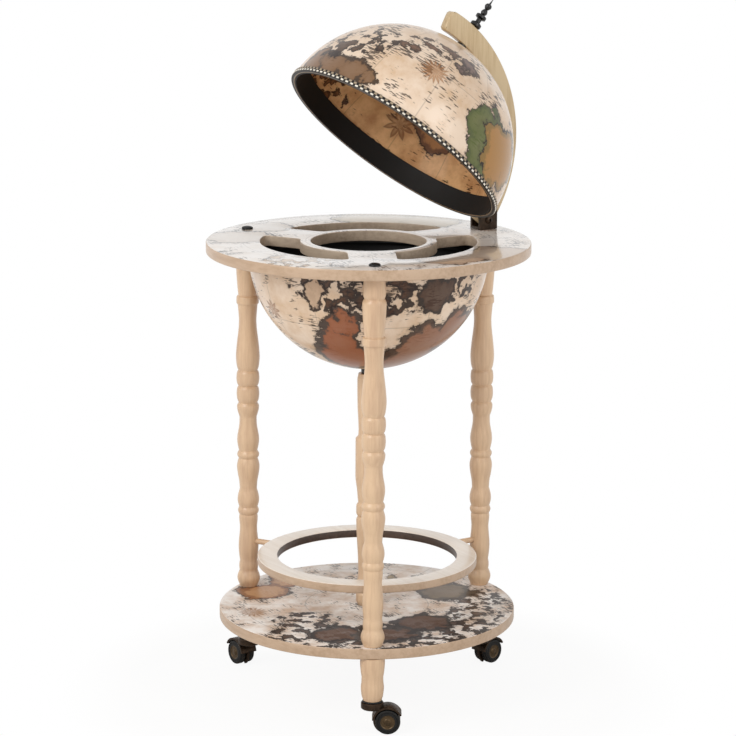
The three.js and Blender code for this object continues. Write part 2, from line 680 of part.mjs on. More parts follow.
// Turns a piece made along +Z so that it points outwards at that height angle
const outwards = (geometry, angle) => geometry.rotateX(angle - Math.PI / 2);
const poleRod = { radius: 2.5 };
const domeHole = outwards(bar(rimScrew.radius + seat, arcOuter), rimScrew.angle);
const domeGeometry = cut(halfShell(poleRod.radius + seat, 0), [domeHole]);
add(lid, 'dome', domeGeometry, printedGlobe());

const trim = { height: 7, depth: 1.7 };
const trimInner = globeRadius + seat;
const trimGeometry = ringBlank(trimInner, trimInner + trim.depth, trim.height, globeSegments);
add(lid, 'dome_trim', trimGeometry, checkedBand());

// Lining band: a zone of a thin sphere just inside the dome's wall
const lining = { height: 30, thickness: 1.5, rows: 1 };
const liningOuter = globeInner - liningGap;
const liningInner = liningOuter - lining.thickness;
function liningProfile() {
  const heights = Array.from({ length: lining.rows + 1 }, (_, row) => lining.height * row / lining.rows);
  const outer = heights.map((height) => [Math.sqrt(liningOuter ** 2 - height ** 2), height]);
  const inner = heights.map((height) => [Math.sqrt(liningInner ** 2 - height ** 2), height]);
  return [...outer, ...inner.reverse(), outer[0]];
}
add(lid, 'dome_lining', turned(liningProfile(), globeSegments), blackBand());

// Wooden arc: its lower end has a flat for the shut lid and a heel that stops the open lid
function arcGeometry() {
  const reach = hingeHeight - bracket.plate - 2 * seat;
  const pinY = hingeRadius;
  const pinZ = pinAboveRim;
  const heelAngle = lidOpenAngle - Math.PI / 2;
  const heelRise = (arcOuter - pinY - reach * Math.cos(heelAngle)) * Math.tan(lidOpenAngle);
  const heelTop = pinZ + reach * Math.sin(heelAngle) + heelRise;
  const outerStart = Math.asin(heelTop / arcOuter);
  const innerStart = Math.asin((pinZ - reach) / arcInner);
  const endAngle = Math.PI / 2 + arcPastPoleAngle;
  const cornerShare = 0.3;
  const cornerAngle = cornerShare * arcWidth / hingeRadius;
  const innerCorner = arcInner + cornerShare * arcWidth;
  const outerCorner = arcOuter - cornerShare * arcWidth;
  const at = (radius, angle) => [radius * Math.cos(angle), radius * Math.sin(angle)];
  const shape = new THREE.Shape();
  shape.moveTo(...at(arcInner, innerStart));
  shape.lineTo(pinY, pinZ - reach);
  shape.absarc(pinY, pinZ, reach, -Math.PI / 2, heelAngle, false);
  shape.lineTo(...at(arcOuter, outerStart));
  shape.absarc(0, 0, arcOuter, outerStart, endAngle - cornerAngle, false);
  shape.quadraticCurveTo(...at(arcOuter, endAngle), ...at(outerCorner, endAngle));
  shape.lineTo(...at(innerCorner, endAngle));
  shape.quadraticCurveTo(...at(arcInner, endAngle), ...at(arcInner, endAngle - cornerAngle));
  shape.absarc(0, 0, arcInner, endAngle - cornerAngle, innerStart, true);
  shape.holes.push(circlePath(hingeBolt.radius + seat, pinY, pinZ));
  const blank = slab(shape, arcThickness, arcSegments)
    .translate(0, 0, -arcThickness / 2)
    .applyMatrix4(standingPlane);
  const poleHole = bar(poleRod.radius + seat, arcOuter + cutOverrun);
  const screwHole = outwards(bar(rimScrew.radius + seat, arcInner + rimScrew.depth + seat), rimScrew.angle);
  return cut(blank, [poleHole, screwHole]);
}
add(lid, 'meridian_arc', arcGeometry(), lightWood());

// Spacers between dome and arc, at the pole and low down by the hinge
const spacer = { radius: 7 };
const spacerGeometry = (hole) =>
  ringBlank(hole + seat, spacer.radius, arcGap - 2 * curveSeat, smallSegments)
    .translate(0, 0, globeRadius + curveSeat);
add(lid, 'pole_spacer', spacerGeometry(poleRod.radius), blackMetal());
add(lid, 'rim_spacer', outwards(spacerGeometry(rimScrew.radius), rimScrew.angle), blackMetal());

const rimScrewHead = globeInner - curveSeat - rimScrew.headHeight;
const rimScrewShank = arcInner + rimScrew.depth - rimScrewHead - rimScrew.headHeight;
const rimScrewGeometry = outwards(
  screwUp(rimScrew, rimScrewShank).translate(0, 0, rimScrewHead),
  rimScrew.angle,
);
add(lid, 'rim_screw', rimScrewGeometry, steel());

// Finial with its threaded rod, from the rod's lower end to the tip
const poleNut = { radius: 5.5, height: 4, spare: 2 };
const finialHeight = 50;
const finialRadius = 8.2;
const poleNutTop = globeInner - curveSeat;
const rodBottom = poleNutTop - poleNut.height - poleNut.spare;
const finialBase = arcOuter + seat;
const finialShares = [
  [0, 0.5], [0.04, 0.98], [0.12, 0.98], [0.17, 0.45], [0.28, 0.45], [0.32, 0.95], [0.39, 0.95],
  [0.43, 0.35], [0.51, 0.58], [0.56, 0.5], [0.62, 0.28], [0.67, 0.5], [0.72, 0.62], [0.78, 0.5],
  [0.82, 0.18], [1, 0.05],
];
const finialGeometry = turned([
  [0, rodBottom],
  [poleRod.radius, rodBottom],
  [poleRod.radius, finialBase],
  ...finialShares.map(([heightShare, radiusShare]) =>
    [finialRadius * radiusShare, finialBase + finialHeight * heightShare]),
  [0, finialBase + finialHeight],
], smallSegments);
add(lid, 'finial', finialGeometry, blackMetal());
const poleNutGeometry = nut(poleNut.radius, poleRod.radius + seat, poleNut.height)
  .translate(0, 0, poleNutTop - poleNut.height);
add(lid, 'pole_nut', poleNutGeometry, steel());

export default globeBar;
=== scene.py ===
# Floor globe bar: the finishes and the finely made pieces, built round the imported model.
# Metres, +Z up, with the hinge towards +Y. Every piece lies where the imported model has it.
import json
import math

import bpy
from mathutils import Matrix, Vector


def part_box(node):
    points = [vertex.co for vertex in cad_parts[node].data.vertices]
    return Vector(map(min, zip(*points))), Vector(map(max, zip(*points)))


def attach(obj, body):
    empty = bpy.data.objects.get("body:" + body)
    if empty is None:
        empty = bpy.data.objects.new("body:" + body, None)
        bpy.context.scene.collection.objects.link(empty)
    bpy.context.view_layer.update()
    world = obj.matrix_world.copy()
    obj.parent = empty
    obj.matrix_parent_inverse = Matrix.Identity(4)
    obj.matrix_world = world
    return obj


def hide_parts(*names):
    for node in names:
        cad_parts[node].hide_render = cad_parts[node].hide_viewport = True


bl_info = {
    "name": "Floor Globe Bar",
    "version": (1, 0, 0),
    "blender": (4, 5, 0),
    "location": "View3D > Sidebar > Globe Bar",
    "description": "Builds a floor globe bar with turned legs, a hinged half globe and its studio stage",
    "category": "Object",
}

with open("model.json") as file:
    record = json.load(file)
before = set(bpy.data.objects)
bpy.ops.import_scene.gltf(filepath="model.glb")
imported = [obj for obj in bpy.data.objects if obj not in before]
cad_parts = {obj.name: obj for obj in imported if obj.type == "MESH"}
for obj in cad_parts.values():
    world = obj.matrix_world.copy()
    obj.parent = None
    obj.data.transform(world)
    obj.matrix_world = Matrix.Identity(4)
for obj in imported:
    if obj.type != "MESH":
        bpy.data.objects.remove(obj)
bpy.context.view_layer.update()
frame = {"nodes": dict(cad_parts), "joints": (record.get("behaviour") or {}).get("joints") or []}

MM = 0.001
TINY = 0.000001
SEAT = 0.0003
CURVED_SEAT = 0.0008
HOLE_SIDES = 24
CORNER_STEPS = 8
EDGE_STEPS = 3
SHARP_EDGE = math.radians(50)
DRILL_RUN_IN = 0.01
STATIONS = ("front", "left", "hinge")
UP = Vector((0, 0, 1))


def middle(node):
    """The middle of a node's box."""
    low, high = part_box(node)
    return (low + high) / 2


# Places from the frame
BOARD_LOW, BOARD_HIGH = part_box("table_top")
SHELF_LOW, SHELF_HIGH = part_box("shelf")
AXIS = Vector((0, middle("table_top").y, 0))
BOARD_RADIUS = (BOARD_HIGH.x - BOARD_LOW.x) / 2
SHELF_RADIUS = (SHELF_HIGH.x - SHELF_LOW.x) / 2
LEG_PLACES = {name: Vector((middle(f"leg_{name}").x, middle(f"leg_{name}").y, 0)) for name in STATIONS}
LID_JOINT = next(joint for joint in frame["joints"] if joint["name"] == "lid_hinge")
PIN = Vector(LID_JOINT["pos_m"])
LID_OPEN = math.radians(LID_JOINT["range_deg"][1])

# Globe and lid
GLOBE_RADIUS = 0.167
GLOBE_WALL = 0.004
LID_CLEARANCE = 0.001
LOWER_SHORTFALL = 0.004
HINGE_RADIUS = PIN.y - AXIS.y
PIN_ABOVE_RIM = PIN.z - BOARD_HIGH.z - LID_CLEARANCE
LOWER_CENTRE = Vector((0, AXIS.y, BOARD_LOW.z - SEAT + LOWER_SHORTFALL))
SHUT_TO_OPEN = (
    Matrix.Translation(PIN)
    @ Matrix.Rotation(-LID_OPEN, 4, "X")
    @ Matrix.Translation((0, -HINGE_RADIUS, -PIN_ABOVE_RIM))
)
LID_CENTRE = SHUT_TO_OPEN @ Vector((0, 0, 0))

# Arc and bracket
ARC_INNER = 0.175
ARC_WIDTH = 0.030
ARC_OUTER = ARC_INNER + ARC_WIDTH
ARC_THICKNESS = 0.013
ARC_PAST_POLE = math.radians(13.5)
ARC_CORNER_SHARE = 0.3
BRACKET_PLATE = 0.004
BRACKET_CHEEK = 0.0044
BRACKET_CORNER = 0.004
RIM_SCREW_ANGLE = math.radians(18)
RIM_SCREW_WAY = Vector((0, math.cos(RIM_SCREW_ANGLE), math.sin(RIM_SCREW_ANGLE)))
RIM_SCREW_HOLE = 0.0023
POLE_HOLE = 0.0028
HINGE_HOLE = 0.0033

# Openings in the table board
CENTRE_HOLE = 0.080
SLOT_INNER = 0.095
SLOT_OUTER = 0.150
SPOKE_HALF = 0.033
SLOT_CORNER_SHARE = 0.1

# Casters
CASTER_TURNS = {"front": math.radians(57.6), "left": math.radians(183.6), "hinge": math.radians(102.6)}
CASTER_TRAIL = 0.021
WHEEL_RADIUS = 0.0175
WHEEL_WIDTH = 0.0096
WEB_HALF = 0.002
WHEEL_START = 0.0026
HOOD_INNER = 0.019
HOOD_OUTER = 0.0215
HOOD_HALF = 0.0129
HOOD_FROM = math.radians(28)
HOOD_TO = math.radians(172)
BOSS_RADIUS = 0.0156
BOSS_HEIGHT = 0.0095
CASTER_TOP = 0.0437


def linear(hex_colour):
    """An sRGB hex colour as linear red, green, blue and alpha."""
    shares = [int(hex_colour[start:start + 2], 16) / 255 for start in (1, 3, 5)]
    light = [c / 12.92 if c <= 0.04045 else ((c + 0.055) / 1.055) ** 2.4 for c in shares]
    return (*light, 1.0)


def colour_property(name, description, hex_colour):
    """A colour that a user can change."""
    return bpy.props.FloatVectorProperty(
        name=name, description=description, default=linear(hex_colour), size=4, min=0, max=1, subtype="COLOR"
    )


def length_property(name, description, metres):
    """A length that a user can change."""
    return bpy.props.FloatProperty(
        name=name, description=description, default=metres, min=0, precision=5, unit="LENGTH"
    )


class GlobeBarSizes(bpy.types.PropertyGroup):
    """Fineness and edge roundings of the finished pieces."""

    turned_sides: bpy.props.IntProperty(
        name="Turned sides", description="Sides round a leg, foot or post", default=48, min=12
    )
    board_sides: bpy.props.IntProperty(
        name="Board sides", description="Sides round a board, ring or rim band", default=160, min=24
    )
    small_sides: bpy.props.IntProperty(
        name="Small sides", description="Sides round a screw, cap or wheel", default=40, min=12
    )
    outline_steps: bpy.props.IntProperty(
        name="Outline steps", description="Steps from one point of an outline to the next", default=4, min=1
    )
    board_rounding: length_property("Board rounding", "Radius of the eased edges of boards and ring", 0.0016)
    wood_rounding: length_property("Wood rounding", "Radius of the eased edges of the wooden arc", 0.0015)
    metal_rounding: length_property("Metal rounding", "Radius of the edges of bracket and hoods", 0.0005)
    trim_pitch: length_property("Trim pitch", "Distance from one light check to the next", 0.0085)


class GlobeBarFinishes(bpy.types.PropertyGroup):
    """Colours of the finished pieces."""

    beech: colour_property("Beech", "Turned beech under clear lacquer", "#D8B895")
    beech_grain: colour_property("Beech grain", "Darker grain of the beech", "#C4A283")
    board_wood: colour_property("Board wood", "Pale edges of the boards and the ring", "#BFA388")
    paper: colour_property("Paper", "Ground of the printed map", "#E6D0BA")
    paper_age: colour_property("Aged paper", "Darker clouds in the map's ground", "#D2B393")
    inner_paper: colour_property("Inner paper", "Ground of the print inside the lid", "#E6B783")
    inner_paper_age: colour_property("Aged inner paper", "Darker clouds inside the lid", "#B98658")
    board_paper: colour_property("Board paper", "Ground of the print on the two boards", "#F6F0EA")
    ink: colour_property("Ink", "Dark brown ink of coasts and notes", "#241309")
    bronze: colour_property("Bronze", "Antique bronze of bracket and casters", "#35281D")
    black: colour_property("Black", "Black lacquer and black plastic", "#080707")
    steel: colour_property("Steel", "Zinc plated screws", "#B9BCC0")


def sizes():
    """The sizes that are in use."""
    return bpy.context.scene.globe_bar_sizes


def finishes():
    """The colours that are in use."""
    return bpy.context.scene.globe_bar_finishes


# Modelling helpers


def alone(piece):
    """Selects one piece and nothing else."""
    bpy.ops.object.select_all(action="DESELECT")
    piece.select_set(True)
    bpy.context.view_layer.objects.active = piece
    return piece


def started(name):
    """A new piece with one selected vertex at the origin, left in edit mode."""
    bpy.ops.object.select_all(action="DESELECT")
    bpy.ops.mesh.primitive_plane_add(size=MM)
    piece = bpy.context.active_object
    piece.name = name
    piece.data.name = name
    bpy.ops.object.mode_set(mode="EDIT")
    bpy.ops.mesh.select_mode(type="VERT")
    bpy.ops.mesh.select_all(action="SELECT")
    bpy.ops.mesh.merge(type="CENTER")
    return piece


def draw(points):
    """Moves the one selected vertex from the origin to the first point and extrudes it through the others."""
    bpy.ops.transform.translate(value=Vector(points[0]))
    for before, after in zip(points, points[1:]):
        step = Vector(after) - Vector(before)
        bpy.ops.mesh.extrude_vertices_move(TRANSFORM_OT_translate={"value": step})


def merged():
    """In edit mode, joins vertices that lie together and turns all faces outwards."""
    bpy.ops.mesh.select_mode(type="VERT")
    bpy.ops.mesh.select_all(action="SELECT")
    bpy.ops.mesh.remove_doubles(threshold=TINY)
    bpy.ops.mesh.normals_make_consistent(inside=False)


def modified(piece, kind, **settings):
    """Adds a modifier to a piece and applies it."""
    alone(piece)
    bpy.ops.object.modifier_add(type=kind)
    modifier = piece.modifiers[-1]
    for name, value in settings.items():
        setattr(modifier, name, value)
    bpy.ops.object.modifier_apply(modifier=modifier.name)
    return piece


def smoothed(piece, degrees=35):
    """Shades a piece smooth, but for edges sharper than an angle."""
    alone(piece)
    bpy.ops.object.shade_smooth_by_angle(angle=math.radians(degrees))
    return piece


def settled(piece, matrix):
    """Moves a piece by its mesh, so that its object stays at the origin."""
    piece.data.transform(matrix)
    piece.data.update()
    return piece


def copied(piece, name):
    """A copy of a piece with a mesh of its own."""
    alone(piece)
    bpy.ops.object.duplicate(linked=False)
    copy = bpy.context.active_object
    copy.name = name
    copy.data.name = name
    return copy


def joined(pieces, name):
    """Several pieces as one."""
    alone(pieces[0])
    for piece in pieces[1:]:
        piece.select_set(True)
    bpy.ops.object.join()
    pieces[0].name = name
    return pieces[0]


def on_axis(height):
    """The move from the origin to a height on the bar's axis."""
    return Matrix.Translation((0, AXIS.y, height))


def over_leg(name, height):
    """The move from the origin to a height on a leg's axis."""
    return Matrix.Translation((*LEG_PLACES[name].xy, height))


def on_pin(across):
    """The move of a piece from the vertical axis onto the hinge pin, starting at a place along it."""
    return Matrix.Translation((across, PIN.y, PIN.z)) @ Matrix.Rotation(math.pi / 2, 4, "Y")


def polar(radius, turn):
    """A point of a plane, from its distance and its turn about the origin."""
    return Vector((radius * math.cos(turn), radius * math.sin(turn)))


def bend(start, tip, end, steps):
    """Points between the two ends of a curve that is pulled towards a tip."""
    shares = [step / steps for step in range(1, steps)]
    return [(1 - t) ** 2 * start + 2 * t * (1 - t) * tip + t * t * end for t in shares]


def arc(radius, start, end, steps, centre=(0, 0)):
    """Points of an arc in a plane, its two ends among them."""
    turns = [start + (end - start) * step / steps for step in range(steps + 1)]
    return [(centre[0] + radius * math.cos(t), centre[1] + radius * math.sin(t)) for t in turns]


def turned(name, outline, sides):
    """Turns an outline of radius and height, closed or from axis to axis, about the vertical axis."""
    piece = started(name)
    draw([(radius, 0, height) for radius, height in outline])
    bpy.ops.mesh.select_all(action="SELECT")
    bpy.ops.mesh.spin(steps=sides, angle=2 * math.pi, center=(0, 0, 0), axis=(0, 0, 1))
    merged()
    bpy.ops.object.mode_set(mode="OBJECT")
    return smoothed(piece)


def rounded_box_outline(inner, outer, low, high, rounding):
    """The closed outline of a ring's section with eased edges."""
    quarter = math.pi / 2
    corners = [
        ((outer - rounding, low + rounding), -quarter),
        ((outer - rounding, high - rounding), 0),
        ((inner + rounding, high - rounding), quarter),
        ((inner + rounding, low + rounding), 2 * quarter),
    ]
    points = []
    for place, start in corners:
        points += arc(rounding, start, start + quarter, EDGE_STEPS, place)
    return points + points[:1]


def eased(points, steps, crease):
    """Rounds an outline of heights and radii. A valley between beads closer than the crease stays sharp."""
    heights = [point[0] for point in points]
    radii = [point[1] for point in points]
    rises = [(radii[i + 1] - radii[i]) / (heights[i + 1] - heights[i]) for i in range(len(points) - 1)]
    slopes = [(rises[0], rises[0])]
    for before, after, low, here, high in zip(rises, rises[1:], heights, heights[1:], heights[2:]):
        if before * after > 0:
            both = 2 * before * after / (before + after)
            slopes.append((both, both))
        elif before < 0 and min(here - low, high - here) < crease:
            slopes.append((1.5 * before, 1.5 * after))
        else:
            slopes.append((0, 0))
    slopes.append((rises[-1], rises[-1]))
    rounded = []
    for i in range(len(rises)):
        span = heights[i + 1] - heights[i]
        for step in range(steps):
            t = step / steps
            radius = (
                (2 * t**3 - 3 * t**2 + 1) * radii[i]
                + (t**3 - 2 * t**2 + t) * span * slopes[i][1]
                + (3 * t**2 - 2 * t**3) * radii[i + 1]
                + (t**3 - t**2) * span * slopes[i + 1][0]
            )
            rounded.append((heights[i] + t * span, radius))
    rounded.append(points[-1])
    return rounded


def plate(name, rims, thickness, rounding):
    """A flat board standing on height 0, from closed outlines: first its rim, then any holes."""
    piece = started(name)
    for number, rim in enumerate(rims):
        if number:
            bpy.ops.mesh.primitive_plane_add(size=MM)
            bpy.ops.mesh.merge(type="CENTER")
        draw([(x, y, 0) for x, y in [*rim, rim[0]]])
    bpy.ops.mesh.select_mode(type="VERT")
    bpy.ops.mesh.select_all(action="SELECT")
    bpy.ops.mesh.remove_doubles(threshold=TINY)
    bpy.ops.mesh.fill(use_beauty=True)
    bpy.ops.mesh.select_all(action="SELECT")
    bpy.ops.mesh.extrude_region_move(TRANSFORM_OT_translate={"value": (0, 0, thickness)})
    merged()
    bpy.ops.mesh.select_all(action="DESELECT")
    bpy.ops.mesh.select_mode(type="EDGE")
    bpy.ops.mesh.edges_select_sharp(sharpness=math.radians(60))
    bpy.ops.mesh.bevel(offset=rounding, segments=3, affect="EDGES")
    bpy.ops.object.mode_set(mode="OBJECT")
    return smoothed(piece)


def cutter(radius, depth, place, direction, sides):
    """A round tool that starts at a place and runs along a direction."""
    bpy.ops.object.select_all(action="DESELECT")
    bpy.ops.mesh.primitive_cylinder_add(vertices=sides, radius=radius, depth=depth)
    tool = bpy.context.active_object
    direction = Vector(direction).normalized()
    turn = direction.to_track_quat("Z", "Y").to_matrix().to_4x4()
    return settled(tool, Matrix.Translation(Vector(place) + direction * depth / 2) @ turn)


def carved(piece, tool, operation="DIFFERENCE"):
    """Cuts, joins or crosses a piece with a tool, which is then thrown away."""
    modified(piece, "BOOLEAN", operation=operation, object=tool, solver="EXACT")
    bpy.data.objects.remove(tool)
    return piece


def bored(piece, radius, depth, place, direction, sides=HOLE_SIDES):
    """Bores a round hole."""
    return carved(piece, cutter(radius, depth, place, direction, sides))


def circle(radius, sides):
    """A closed outline round the origin."""
    return arc(radius, 0, 2 * math.pi, sides)[:-1]


def dressed(piece, materials, chosen=None):
    """Gives a piece its materials. A function of a face's middle and normal picks the one for each face."""
    piece.data.materials.clear()
    for material in materials:
        piece.data.materials.append(material)
    for face in piece.data.polygons:
        face.material_index = chosen(face.center, face.normal) if chosen else 0
    return piece


# Material helpers


def node(tree, kind, links=None, **settings):
    """Adds a node with its settings. Links give its inputs, each a value or another node's socket."""
    made = tree.nodes.new("ShaderNode" + kind)
    for name, value in settings.items():
        setattr(made, name, value)
    for name, value in (links or {}).items():
        if isinstance(value, bpy.types.NodeSocket):
            tree.links.new(value, made.inputs[name])
        else:
            made.inputs[name].default_value = value
    return made


def set_stops(ramp_node, stops):
    """Sets the stops of a colour ramp: each a place, a colour and its cover."""
    elements = ramp_node.color_ramp.elements
    while len(elements) < len(stops):
        elements.new(1)
    for element, (place, colour, cover) in zip(elements, stops):
        element.position = place
        element.color = (*tuple(colour)[:3], cover)
    return ramp_node


def new_material(name):
    """An empty material, its shader and its tree."""
    material = bpy.data.materials.new(name)
    material.use_nodes = True
    tree = material.node_tree
    tree.nodes.clear()
    shader = node(tree, "BsdfPrincipled")
    node(tree, "OutputMaterial", {"Surface": shader.outputs["BSDF"]})
    return material, tree, shader


def shader_values(shader, **values):
    """Sets numbers that are the same all over the surface."""
    for name, value in values.items():
        shader.inputs[name.replace("_", " ").title().replace("Ior", "IOR")].default_value = value


# Repeats to a metre: grain every 4.5 mm, its clouds every 22 mm, ray flecks every 2.4 mm, grit every 1.1 mm.
# Fine grain and grit are drawn a few times coarser than the real ones, so that they show.
GRAIN_SCALE = 220.0
CLOUD_SCALE = 45.0
FLECK_SCALE = 420.0
GRIT_SCALE = 900.0
GRAIN_STRETCH = 0.06


def beech(name, pale, dark, grain_axis, roughness=0.42, coat=0.25):
    """Beech under clear lacquer: long soft grain, with the short dark flecks of its rays."""
    material, tree, shader = new_material(name)
    along = Vector((1, 1, 1))
    along[grain_axis] = GRAIN_STRETCH
    place = node(tree, "TexCoord").outputs["Object"]
    stretched = node(tree, "Mapping", {"Vector": place, "Scale": along}).outputs["Vector"]
    grain = node(
        tree, "TexNoise", {"Vector": stretched, "Scale": GRAIN_SCALE, "Detail": 5.0, "Roughness": 0.6}
    )
    cloud = node(tree, "TexNoise", {"Vector": stretched, "Scale": CLOUD_SCALE, "Detail": 3.0})
    both = node(tree, "Mix", {"Factor": 0.45, 2: grain.outputs["Fac"], 3: cloud.outputs["Fac"]})
    tone = set_stops(
        node(tree, "ValToRGB", {"Fac": both.outputs[0]}), [(0.34, dark, 1), (0.56, pale, 1)]
    )
    flecks = node(tree, "TexVoronoi", {"Vector": place, "Scale": FLECK_SCALE, "Randomness": 1.0})
    rays = set_stops(
        node(tree, "ValToRGB", {"Fac": flecks.outputs["Distance"]}),
        [(0.0, (0.80, 0.74, 0.68), 1), (0.22, (1, 1, 1), 1)],
    )
    colour = node(
        tree, "Mix", {"Factor": 0.5, 6: tone.outputs["Color"], 7: rays.outputs["Color"]},
        data_type="RGBA", blend_type="MULTIPLY",
    )
    tree.links.new(colour.outputs[2], shader.inputs["Base Color"])
    bump = node(tree, "Bump", {"Height": both.outputs[0], "Strength": 0.08, "Distance": 0.0004})
    tree.links.new(bump.outputs["Normal"], shader.inputs["Normal"])
    shader_values(shader, roughness=roughness, coat_weight=coat, coat_roughness=0.18)
    return material


# Printed map: how far coasts stray, in globe radii, and strokes to a globe radius along each axis
COAST_WOBBLE = 0.42
STROKES_ON_GLOBE = (14, 14, 80)
STROKES_ON_BOARD = (14, 80, 14)


def field_of(tree, place, blobs):
    """How far inside any of several round blobs a place is: 1 at a blob's middle, 0 at its edge."""
    field = None
    for centre, radius in blobs:
        distance = node(tree, "VectorMath", {0: place, 1: centre}, operation="DISTANCE").outputs["Value"]
        inside = node(
            tree, "Math", {0: distance, 1: -1 / radius, 2: 1.0}, operation="MULTIPLY_ADD"
        ).outputs[0]
        if field is None:
            field = inside
        else:
            field = node(tree, "Math", {0: field, 1: inside}, operation="MAXIMUM").outputs[0]
    return field


def old_map(tree, place, paper, aged, ink, lands, roses, flat=False):
    """Prints an old map of invented lands. Place is in globe radii from the globe's centre."""
    layers = []
    wobble = node(tree, "TexNoise", {"Vector": place, "Scale": 5.0, "Detail": 7.0, "Roughness": 0.62})
    centred = node(
        tree, "VectorMath", {0: wobble.outputs["Color"], 1: (0.5,) * 3}, operation="SUBTRACT"
    ).outputs[0]
    shifted = node(
        tree, "VectorMath", {0: centred, 1: (COAST_WOBBLE,) * 3, 2: place}, operation="MULTIPLY_ADD"
    ).outputs[0]
    cloud = node(tree, "TexNoise", {"Vector": place, "Scale": 3.2, "Detail": 5.0, "Roughness": 0.65})
    ground = set_stops(
        node(tree, "ValToRGB", {"Fac": cloud.outputs["Fac"]}), [(0.36, aged, 1), (0.6, paper, 1)]
    ).outputs["Color"]

    # Thin lines of the grid, 30 degrees apart, and on a board also rings half a globe radius apart
    split = node(tree, "SeparateXYZ", {"Vector": place})
    around = node(tree, "Math", {0: split.outputs["Y"], 1: split.outputs["X"]}, operation="ARCTAN2")
    reach = node(tree, "VectorMath", {0: place}, operation="LENGTH")
    raised = node(tree, "Math", {0: split.outputs["Z"]}, operation="ARCSINE")
    half_step = math.radians(15)
    for angle in [around.outputs[0], reach.outputs["Value"] if flat else raised.outputs[0]]:
        turn = node(tree, "Math", {0: angle, 1: half_step}, operation="PINGPONG")
        line = set_stops(
            node(tree, "ValToRGB", {"Fac": turn.outputs[0]}), [(0.0, ink, 0.34), (0.007, ink, 0.0)]
        )
        layers.append((ink, line.outputs["Alpha"]))

    # Small strokes in rows, which stand for the fine notes of such a map and spell nothing
    rows = STROKES_ON_BOARD if flat else STROKES_ON_GLOBE
    stretched = node(tree, "VectorMath", {0: place, 1: rows}, operation="MULTIPLY").outputs[0]
    strokes = node(tree, "TexNoise", {"Vector": stretched, "Scale": 1.0, "Detail": 2.0})
    where = node(tree, "TexNoise", {"Vector": place, "Scale": 4.5, "Detail": 1.0})
    crowded = node(
        tree, "Math", {0: strokes.outputs["Fac"], 1: where.outputs["Fac"]}, operation="MULTIPLY"
    )
    fleck = set_stops(
        node(tree, "ValToRGB", {"Fac": crowded.outputs[0]}), [(0.318, ink, 0.0), (0.352, ink, 0.85)]
    )
    layers.append((ink, fleck.outputs["Alpha"]))

    # Lands: sea shading, an inked coast, a shore colour and an inland colour
    mottle = node(tree, "TexNoise", {"Vector": place, "Scale": 17.0, "Detail": 6.0, "Roughness": 0.7})
    patches = node(tree, "TexNoise", {"Vector": place, "Scale": 10.0, "Detail": 4.0, "Roughness": 0.55})
    for blobs, shore, inland, broken in lands:
        shore, inland = linear(shore), linear(inland)
        field = field_of(tree, shifted, blobs)
        if broken:
            spread = node(
                tree, "Math", {0: patches.outputs["Fac"], 1: 3.6, 2: -1.84}, operation="MULTIPLY_ADD"
            )
            field = node(tree, "Math", {0: field, 1: spread.outputs[0]}, operation="MINIMUM").outputs[0]
        mixed = node(
            tree, "Math", {0: mottle.outputs["Fac"], 1: 0.12, 2: field}, operation="MULTIPLY_ADD"
        ).outputs[0]
        scaled = node(tree, "MapRange", {"Value": mixed, "From Min": -0.15, "From Max": 0.85}).outputs[0]
        stops = [
            (0.06, ink, 0.0), (0.185, ink, 0.34), (0.2, ink, 0.95), (0.25, ink, 0.95),
            (0.28, shore, 0.96), (0.40, shore, 0.96), (0.54, inland, 0.96), (0.85, inland, 0.92),
        ]
        paint = set_stops(node(tree, "ValToRGB", {"Fac": scaled}), stops)
        layers.append((paint.outputs["Color"], paint.outputs["Alpha"]))

    # Compass roses and ringed medallions
    for centre, radius, points, colour in roses:
        colour = linear(colour)
        outwards = UP if flat else Vector(centre).normalized()
        side = Vector((1, 0, 0)) if flat else UP.cross(outwards).normalized()
        rise = outwards.cross(side)
        away = node(tree, "VectorMath", {0: place, 1: centre}, operation="SUBTRACT").outputs[0]
        across, up = (
            node(tree, "VectorMath", {0: away, 1: axis}, operation="DOT_PRODUCT").outputs["Value"]
            for axis in (side, rise)
        )
        turn = node(tree, "Math", {0: up, 1: across}, operation="ARCTAN2").outputs[0]
        wave = node(tree, "Math", {0: turn, 1: math.pi / points}, operation="PINGPONG").outputs[0]
        away_by = node(tree, "VectorMath", {0: away}, operation="LENGTH").outputs["Value"]
        petal = node(
            tree, "Math", {0: wave, 1: 0.55 * points / math.pi * radius, 2: 0.0}, operation="MULTIPLY_ADD"
        ).outputs[0]
        spread = node(tree, "Math", {0: away_by, 1: petal}, operation="ADD").outputs[0]
        scaled = node(tree, "Math", {0: spread, 1: 1.5 * radius}, operation="DIVIDE").outputs[0]
        stops = [
            (0.0, colour, 0.98), (0.15, colour, 0.98), (0.18, ink, 0.55), (0.22, ink, 0.45),
            (0.25, colour, 0.35), (0.6, colour, 0.8), (0.65, ink, 0.5), (0.69, colour, 0.1),
            (0.95, colour, 0.0),
        ]
        star = set_stops(node(tree, "ValToRGB", {"Fac": scaled}), stops)
        layers.append((star.outputs["Color"], star.outputs["Alpha"]))
    for colour, cover in layers:
        ground = node(tree, "Mix", {"Factor": cover, 6: ground, 7: colour}, data_type="RGBA").outputs[2]
    return ground


